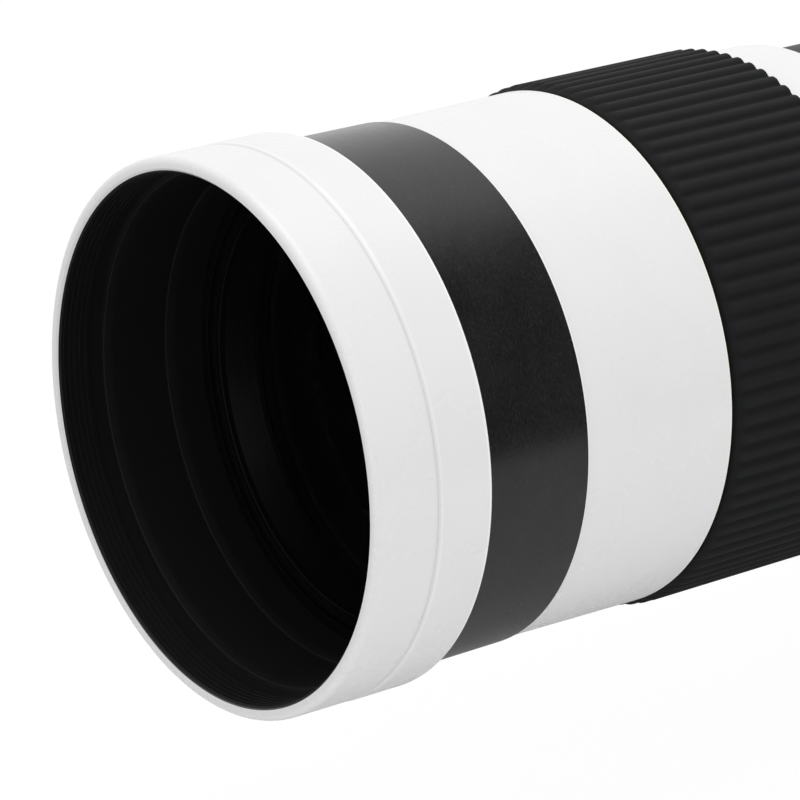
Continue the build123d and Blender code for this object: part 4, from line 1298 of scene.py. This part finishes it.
@dataclass
class BarrelHousing:
    """Fixed barrel: bezel, main barrel, tapered rear barrel, T2 flange and light trap."""

    trees: Trees
    body: str = "main_body"
    radius: float = 33.8
    bezel_front: float = -132.0
    bezel_rear: float = -128.0
    shell_bore: float = 32.5
    shell_front: float = -84.0
    shell_rear: float = -32.0
    groove_radius: float = 33.3
    groove_front: float = -80.0
    groove_rear: float = -60.0
    flange_radius: float = 27.5
    thread_radius: float = 20.72
    trap_front: float = -14.0
    trap_rear: float = -1.0
    trap_radii: Triple = (18.98, 18.1, 17.5)
    trap_teeth: int = 12

    def build(self) -> None:
        """Makes the fixed turned pieces and their screws."""
        self.barrel()
        self.mount()
        self.light_trap()
        self.screws()

    def barrel(self) -> None:
        """Makes the black bezel, the main barrel with the collar's groove and the tapered rear."""
        front, rear, outer = self.bezel_front, self.bezel_rear, self.radius
        bezel = [
            (29.8, front, 0.25), (32.6, front, 0.12), (33.4, front + 0.8, 0.12), (33.4, rear, 0.06),
            (30.87, rear), (30.87, front + 1.18), (29.8, front + 1.18),
        ]
        lathed("barrel_bezel", bezel, "black_anodised", self.body, "front_bezel", steps=4)
        shell = [
            (self.shell_bore, self.shell_front), (outer, self.shell_front, 0.4),
            (outer, self.groove_front, 0.08), (self.groove_radius, self.groove_front),
            (self.groove_radius, self.groove_rear), (outer, self.groove_rear, 0.08),
            (outer, self.shell_rear, 0.10), (self.shell_bore, self.shell_rear),
        ]
        lathed("main_barrel_shell", shell, "white_paint", self.body, "main_barrel")
        taper = [
            (31.3, -34.48), (32.48, -34.48), (32.48, -31.98), (outer, -31.98, 0.10), (outer, -29.0, 2.0),
            (self.flange_radius, -8.0, 1.2), (self.flange_radius, -6.02, 0.10), (24.0, -6.02),
            (24.0, -11.0), (31.3, -29.0),
        ]
        lathed("rear_barrel_shell", taper, "white_paint", self.body, "rear_barrel")

    def mount(self) -> None:
        """Makes the mount ring and the thread on it."""
        thread = self.thread_radius
        ring = [
            (19.0, -10.5), (23.98, -10.5), (23.98, -5.98), (self.flange_radius, -5.98, 0.12),
            (self.flange_radius, 0.0, 0.5), (thread, 0.0), (thread, 4.0, 0.35), (19.0, 4.0, 0.15),
        ]
        lathed("t2_flange", ring, "black_anodised", self.body, "t2_mount_ring", steps=4, slices=300)
        run = (0.1, 3.75)
        ridge = wound_thread(
            "t2_thread_ridge", "black_anodised", self.trees, thread, run, pitch=0.75, ridge=0.27
        )
        seated(ridge, self.body, "black_anodised")

    def light_trap(self) -> None:
        """Makes the toothed sleeve inside the mount ring."""
        front, rear, teeth = self.trap_front, self.trap_rear, self.trap_teeth
        outer, valley, tip = self.trap_radii
        trap: list[Point] = [(outer, front), (outer, rear)]
        for tooth in range(teeth):
            station = rear - (rear - front) * tooth / teeth
            trap += [(tip, station), (valley, station - (rear - front) / 2 / teeth)]
        trap.append((tip, front))
        seated(turned("mount_light_trap", trap, "bore_black", 240), self.body, "bore_black", "light_trap")

    def screws(self) -> None:
        """Sets the small socket screws round the two joints of the barrel."""
        for name, node, head, ring in (
            ("barrel_grub_screws", "barrel_screws", (1.0, 2.2, 0.5, 0.7), (33.6, -33.25)),
            ("mount_grub_screws", "mount_screws", (1.25, 4.7, 0.62, 0.9), (27.3, -8.5, 60.0)),
        ):
            piece = socket_screw(name, "black_steel", *head)
            ring_of(piece, "black_steel", self.trees, 3, *ring)
            seated(piece, self.body, "black_steel", node)


@dataclass
class TripodMount:
    """Split collar with its foot, tripod bush and screws."""

    trees: Trees
    body: str = "collar"
    base: float = -57.49
    collar_station: float = -70.0
    screw_offset: float = 5.5
    screw_depth: float = 0.2
    bush_station: float = -107.0
    bush_bore: float = 3.175
    bush_radius: float = 5.5
    bush_height: float = 5.48

    def build(self) -> None:
        """Makes the collar, the foot and what is screwed into them."""
        for name, node, width in (
            ("split_collar", "tripod_collar", 0.45),
            ("collar_foot", "tripod_foot", 0.5),
        ):
            seated(softened(name, node, "white_paint", width), self.body, "white_paint", node)
        dressed("collar_liner", "nylon")
        self.foot_screws()
        self.bush()

    def foot_screws(self) -> None:
        """Makes the two socket screws under the foot."""
        screws = bmesh.new()
        for side in (-1, 1):
            station = self.collar_station + side * self.screw_offset
            upside_down = placed((0.0, station, self.base + self.screw_depth), math.pi)
            for reach, length, key, depth in ((2.8, 3.0, 1.45, 1.6), (1.5, 19.8, 0.8, 0.1)):
                part = socket_screw("part", "black_steel", reach, length, key, depth)
                part.data.transform(upside_down)
                screws.from_mesh(part.data)
                bpy.data.objects.remove(part)
        piece = as_piece("foot_socket_screws", screws, "black_steel")
        seated(piece, self.body, "black_steel", "foot_screws")

    def bush(self) -> None:
        """Makes the tripod bush with its coarse thread."""
        bore, radius, top = self.bush_bore, self.bush_radius, self.bush_height
        section = rounded([(bore, 0.0, 0.3), (radius, 0.0, 0.12), (radius, top), (bore, top)], 4)
        upright = placed((0.0, self.bush_station, self.base), math.pi / 2)
        ring = turned("tripod_bush_body", section, "steel", 96)
        ring.data.transform(upright)
        seated(ring, self.body, "steel", "tripod_bush")
        run = (0.25, 5.3)
        thread = wound_thread("tripod_bush_thread", "steel", self.trees, bore, run, pitch=1.27, ridge=0.3)
        thread.data.transform(upright)
        seated(thread, self.body, "steel")


@dataclass
class LockKnob:
    """Fluted knob that clamps the collar."""

    body: str = "lock_knob"

    def build(self) -> None:
        """Makes the knob; its stud keeps its solid."""
        knob = softened("fluted_knob", "collar_knob", "black_plastic", 0.25)
        seated(knob, self.body, "black_plastic", "collar_knob")
        dressed("knob_stud", "steel")


@dataclass
class InnerWorks:
    """Pieces inside the lens whose solids are shown as they are, in their finishes."""

    nodes: dict[str, tuple[str, ...]] = field(
        default_factory=lambda: {
            "felt": ("barrel_felt", "tube_felt"),
            "bore_black": ("lens_spacer", "tube_baffle", "variator_cell", "variator_retainer"),
            "brass": ("focus_keys", "helicoid_ring", "zoom_followers", "variator_followers"),
            "steel": ("key_screws", "cam_screws"),
            "bare_aluminium": ("guide_tube", "zoom_cam"),
            "red_enamel": ("zoom_index",),
            "optical_glass": ("variator_concave_lens", "variator_convex_lens"),
        }
    )

    def build(self) -> None:
        """Gives each of them its finish."""
        for finish, nodes in self.nodes.items():
            for node in nodes:
                dressed(node, finish)


@dataclass
class Studio:
    """White table and backdrop under plain soft light, and the photograph's camera."""

    azimuth: float = 53.25
    elevation: float = 20.64
    focal_pixels: float = 4406.4
    picture_side: float = 800.0
    sensor: float = 36.0
    clip: Point = (0.02, 20.0)
    rim_in_view: Triple = (-22.09, 4.75, 499.66)
    rim: Triple = (0.0, -244.0, 0.0)
    table: float = -57.49
    table_gap: float = 0.02
    table_centre: Point = (-80.0, -77.0)
    table_radius: float = 350.0
    table_white: Triple = (0.88, 0.88, 0.88)
    # Grey of the table in reflections: painted shade for the shadowed table under the lens.
    table_shade_in_reflections: Triple = (0.60, 0.60, 0.60)
    table_glow: float = 1.015
    white: Corner = (1.0, 1.0, 1.0, 1.0)
    fill: float = 0.78
    shadow: float = 0.05
    dark_side: Point = (125.0, 15.0)
    dark_reach: Point = (68.0, 40.0)
    dark_level: float = 0.08
    lit_point: Triple = (0.0, -0.15, 0.0)

    def build(self) -> None:
        """Sets up the table, the light and the camera."""
        self.camera()
        self.floor()
        self.sky()
        self.lamp("overhead_softbox", (0.0, -0.15, 1.3), self.lit_point, side=1.2, power=7.0)
        self.lamp("left_softbox", (1.1, -1.0, 0.5), self.lit_point, side=0.9, power=2.0)
        bpy.context.scene.view_settings.view_transform = "Standard"

    def camera(self) -> None:
        """Places the camera from the rim's place in the photograph's view."""
        turn, tilt = math.radians(self.azimuth), math.radians(self.elevation)
        right = Vector((math.cos(turn), math.sin(turn), 0.0))
        forward = Vector((-math.sin(turn) * math.cos(tilt), math.cos(turn) * math.cos(tilt), -math.sin(tilt)))
        up = right.cross(forward)
        across, down, away = self.rim_in_view
        place = Vector(self.rim) - right * across + up * down - forward * away
        data = bpy.data.cameras.new("photo_camera")
        data.sensor_width = self.sensor
        data.lens = self.focal_pixels / self.picture_side * self.sensor
        data.clip_start, data.clip_end = self.clip
        viewer = linked("photo_camera", data)
        basis = Matrix((right, up, -forward)).transposed().to_4x4()
        viewer.matrix_world = Matrix.Translation(place * MM) @ basis
        bpy.context.scene.camera = viewer

    def floor(self) -> None:
        """Lays the white table, which shows the lens's shadow faintly; reflections see it in a painted grey,
        a painted shadow of the table under the lens.
        """
        recipe = Recipe("white_table")
        mesh = bmesh.new()
        bmesh.ops.create_circle(mesh, cap_ends=True, segments=128, radius=self.table_radius * MM)
        place = Vector((*self.table_centre, self.table - self.table_gap)) * MM
        bmesh.ops.translate(mesh, verts=mesh.verts, vec=place)
        # Reflections see the table in its painted shade.
        grey = recipe.blend(self.table_white, self.table_shade_in_reflections, self.ray(recipe, "Is Glossy Ray"))
        lit = recipe.node("ShaderNodeBsdfDiffuse", inputs={"Color": grey})
        light = {"Color": self.white, "Strength": self.table_glow}
        glow = recipe.node("ShaderNodeEmission", inputs=light)
        share = self.ray(recipe, "Is Camera Ray", "Is Transmission Ray") * (1.0 - self.shadow)
        mixed = recipe.node("ShaderNodeMixShader", inputs={0: share, 1: lit, 2: glow})
        recipe.node("ShaderNodeOutputMaterial", inputs={"Surface": mixed})
        RACK.made["table"] = recipe.material
        as_piece("white_table", mesh, "table")

    @staticmethod
    def ray(wiring: Wiring, *kinds: str) -> Term:
        """Tells whether a ray is of one of these kinds.

        Args:
            wiring: Tree that the node is added to.
            kinds: Outputs of the Light Path node, such as Is Camera Ray.

        Returns:
            1 where it is, 0 where it isn't.
        """
        found = first = wiring.node("ShaderNodeLightPath", output=kinds[0])
        for kind in kinds[1:]:
            other = Term(wiring, first.socket.node.outputs[kind])
            found = wiring.node("ShaderNodeMath", {"operation": "MAXIMUM"}, {0: found, 1: other})
        return found

    def room(self, wiring: Wiring) -> Term:
        """Draws the room that polished surfaces mirror: white, with one dark side.

        Args:
            wiring: Tree of the world.

        Returns:
            Brightness of the room in the direction looked at.
        """
        turn, height = (math.radians(angle) for angle in self.dark_side)
        toward = (math.sin(turn) * math.cos(height), -math.cos(turn) * math.cos(height), math.sin(height))
        way = wiring.node("ShaderNodeTexCoord", output="Generated")
        product = {"operation": "DOT_PRODUCT"}
        along = wiring.node("ShaderNodeVectorMath", product, {0: way, 1: toward}, "Value")
        low, high = (math.cos(math.radians(angle)) for angle in self.dark_reach)
        return 1.0 - along.step(low, high) * (1.0 - self.dark_level)

    def sky(self) -> None:
        """Fills the room with even light, white where it is seen."""
        world = bpy.data.worlds.new("white_room")
        bpy.context.scene.world = world
        world.use_nodes = True
        wiring = Wiring()
        wiring.tree = world.node_tree
        wiring.tree.nodes.clear()
        mirrored = self.ray(wiring, "Is Glossy Ray")
        seen = self.ray(wiring, "Is Camera Ray", "Is Transmission Ray")
        strength = mirrored * (self.room(wiring) - self.fill) + self.fill
        strength = strength + seen * (1.0 - strength)
        light = {"Color": self.white, "Strength": strength}
        ground = wiring.node("ShaderNodeBackground", inputs=light)
        wiring.node("ShaderNodeOutputWorld", inputs={"Surface": ground})

    def lamp(self, name: str, place: Triple, target: Triple, side: float, power: float) -> None:
        """Hangs one square softbox.

        Args:
            name: Name of the lamp.
            place: Where it hangs, in metres.
            target: The point that it faces.
            side: Length of its side.
            power: Its power in watts.
        """
        data = bpy.data.lights.new(name, "AREA")
        data.shape = "SQUARE"
        data.size = side
        data.energy = power
        lamp = linked(name, data)
        lamp.location = place
        lamp.rotation_euler = (Vector(target) - Vector(place)).to_track_quat("-Z", "Y").to_euler()


def main() -> None:
    """Builds every sub-assembly in order, then the studio round it."""
    logging.basicConfig(level=logging.INFO, format="%(message)s")
    RACK.stock()
    trees = Trees()
    assemblies = [
        FrontRings(trees),
        RibbedGrip(
            trees, "focus_grip_ribs", "focus_grip", "focus_unit", "grip_rubber",
            bore=30.77, valley=31.62, front=-192.36, rear=-166.17,
        ),
        FrontOptics(),
        TubeAndRing(),
        ZoomRing(trees),
        RibbedGrip(
            trees, "zoom_grip_ribs", "zoom_grip", "zoom_drive", "zoom_rubber",
            bore=33.17, valley=34.02, front=-121.83, rear=-95.17,
        ),
        BarrelHousing(trees),
        TripodMount(trees),
        LockKnob(),
        InnerWorks(),
        Studio(),
    ]
    for assembly in assemblies:
        log.info("building %s", type(assembly).__name__)
        assembly.build()


if __name__ == "__main__":
    main()
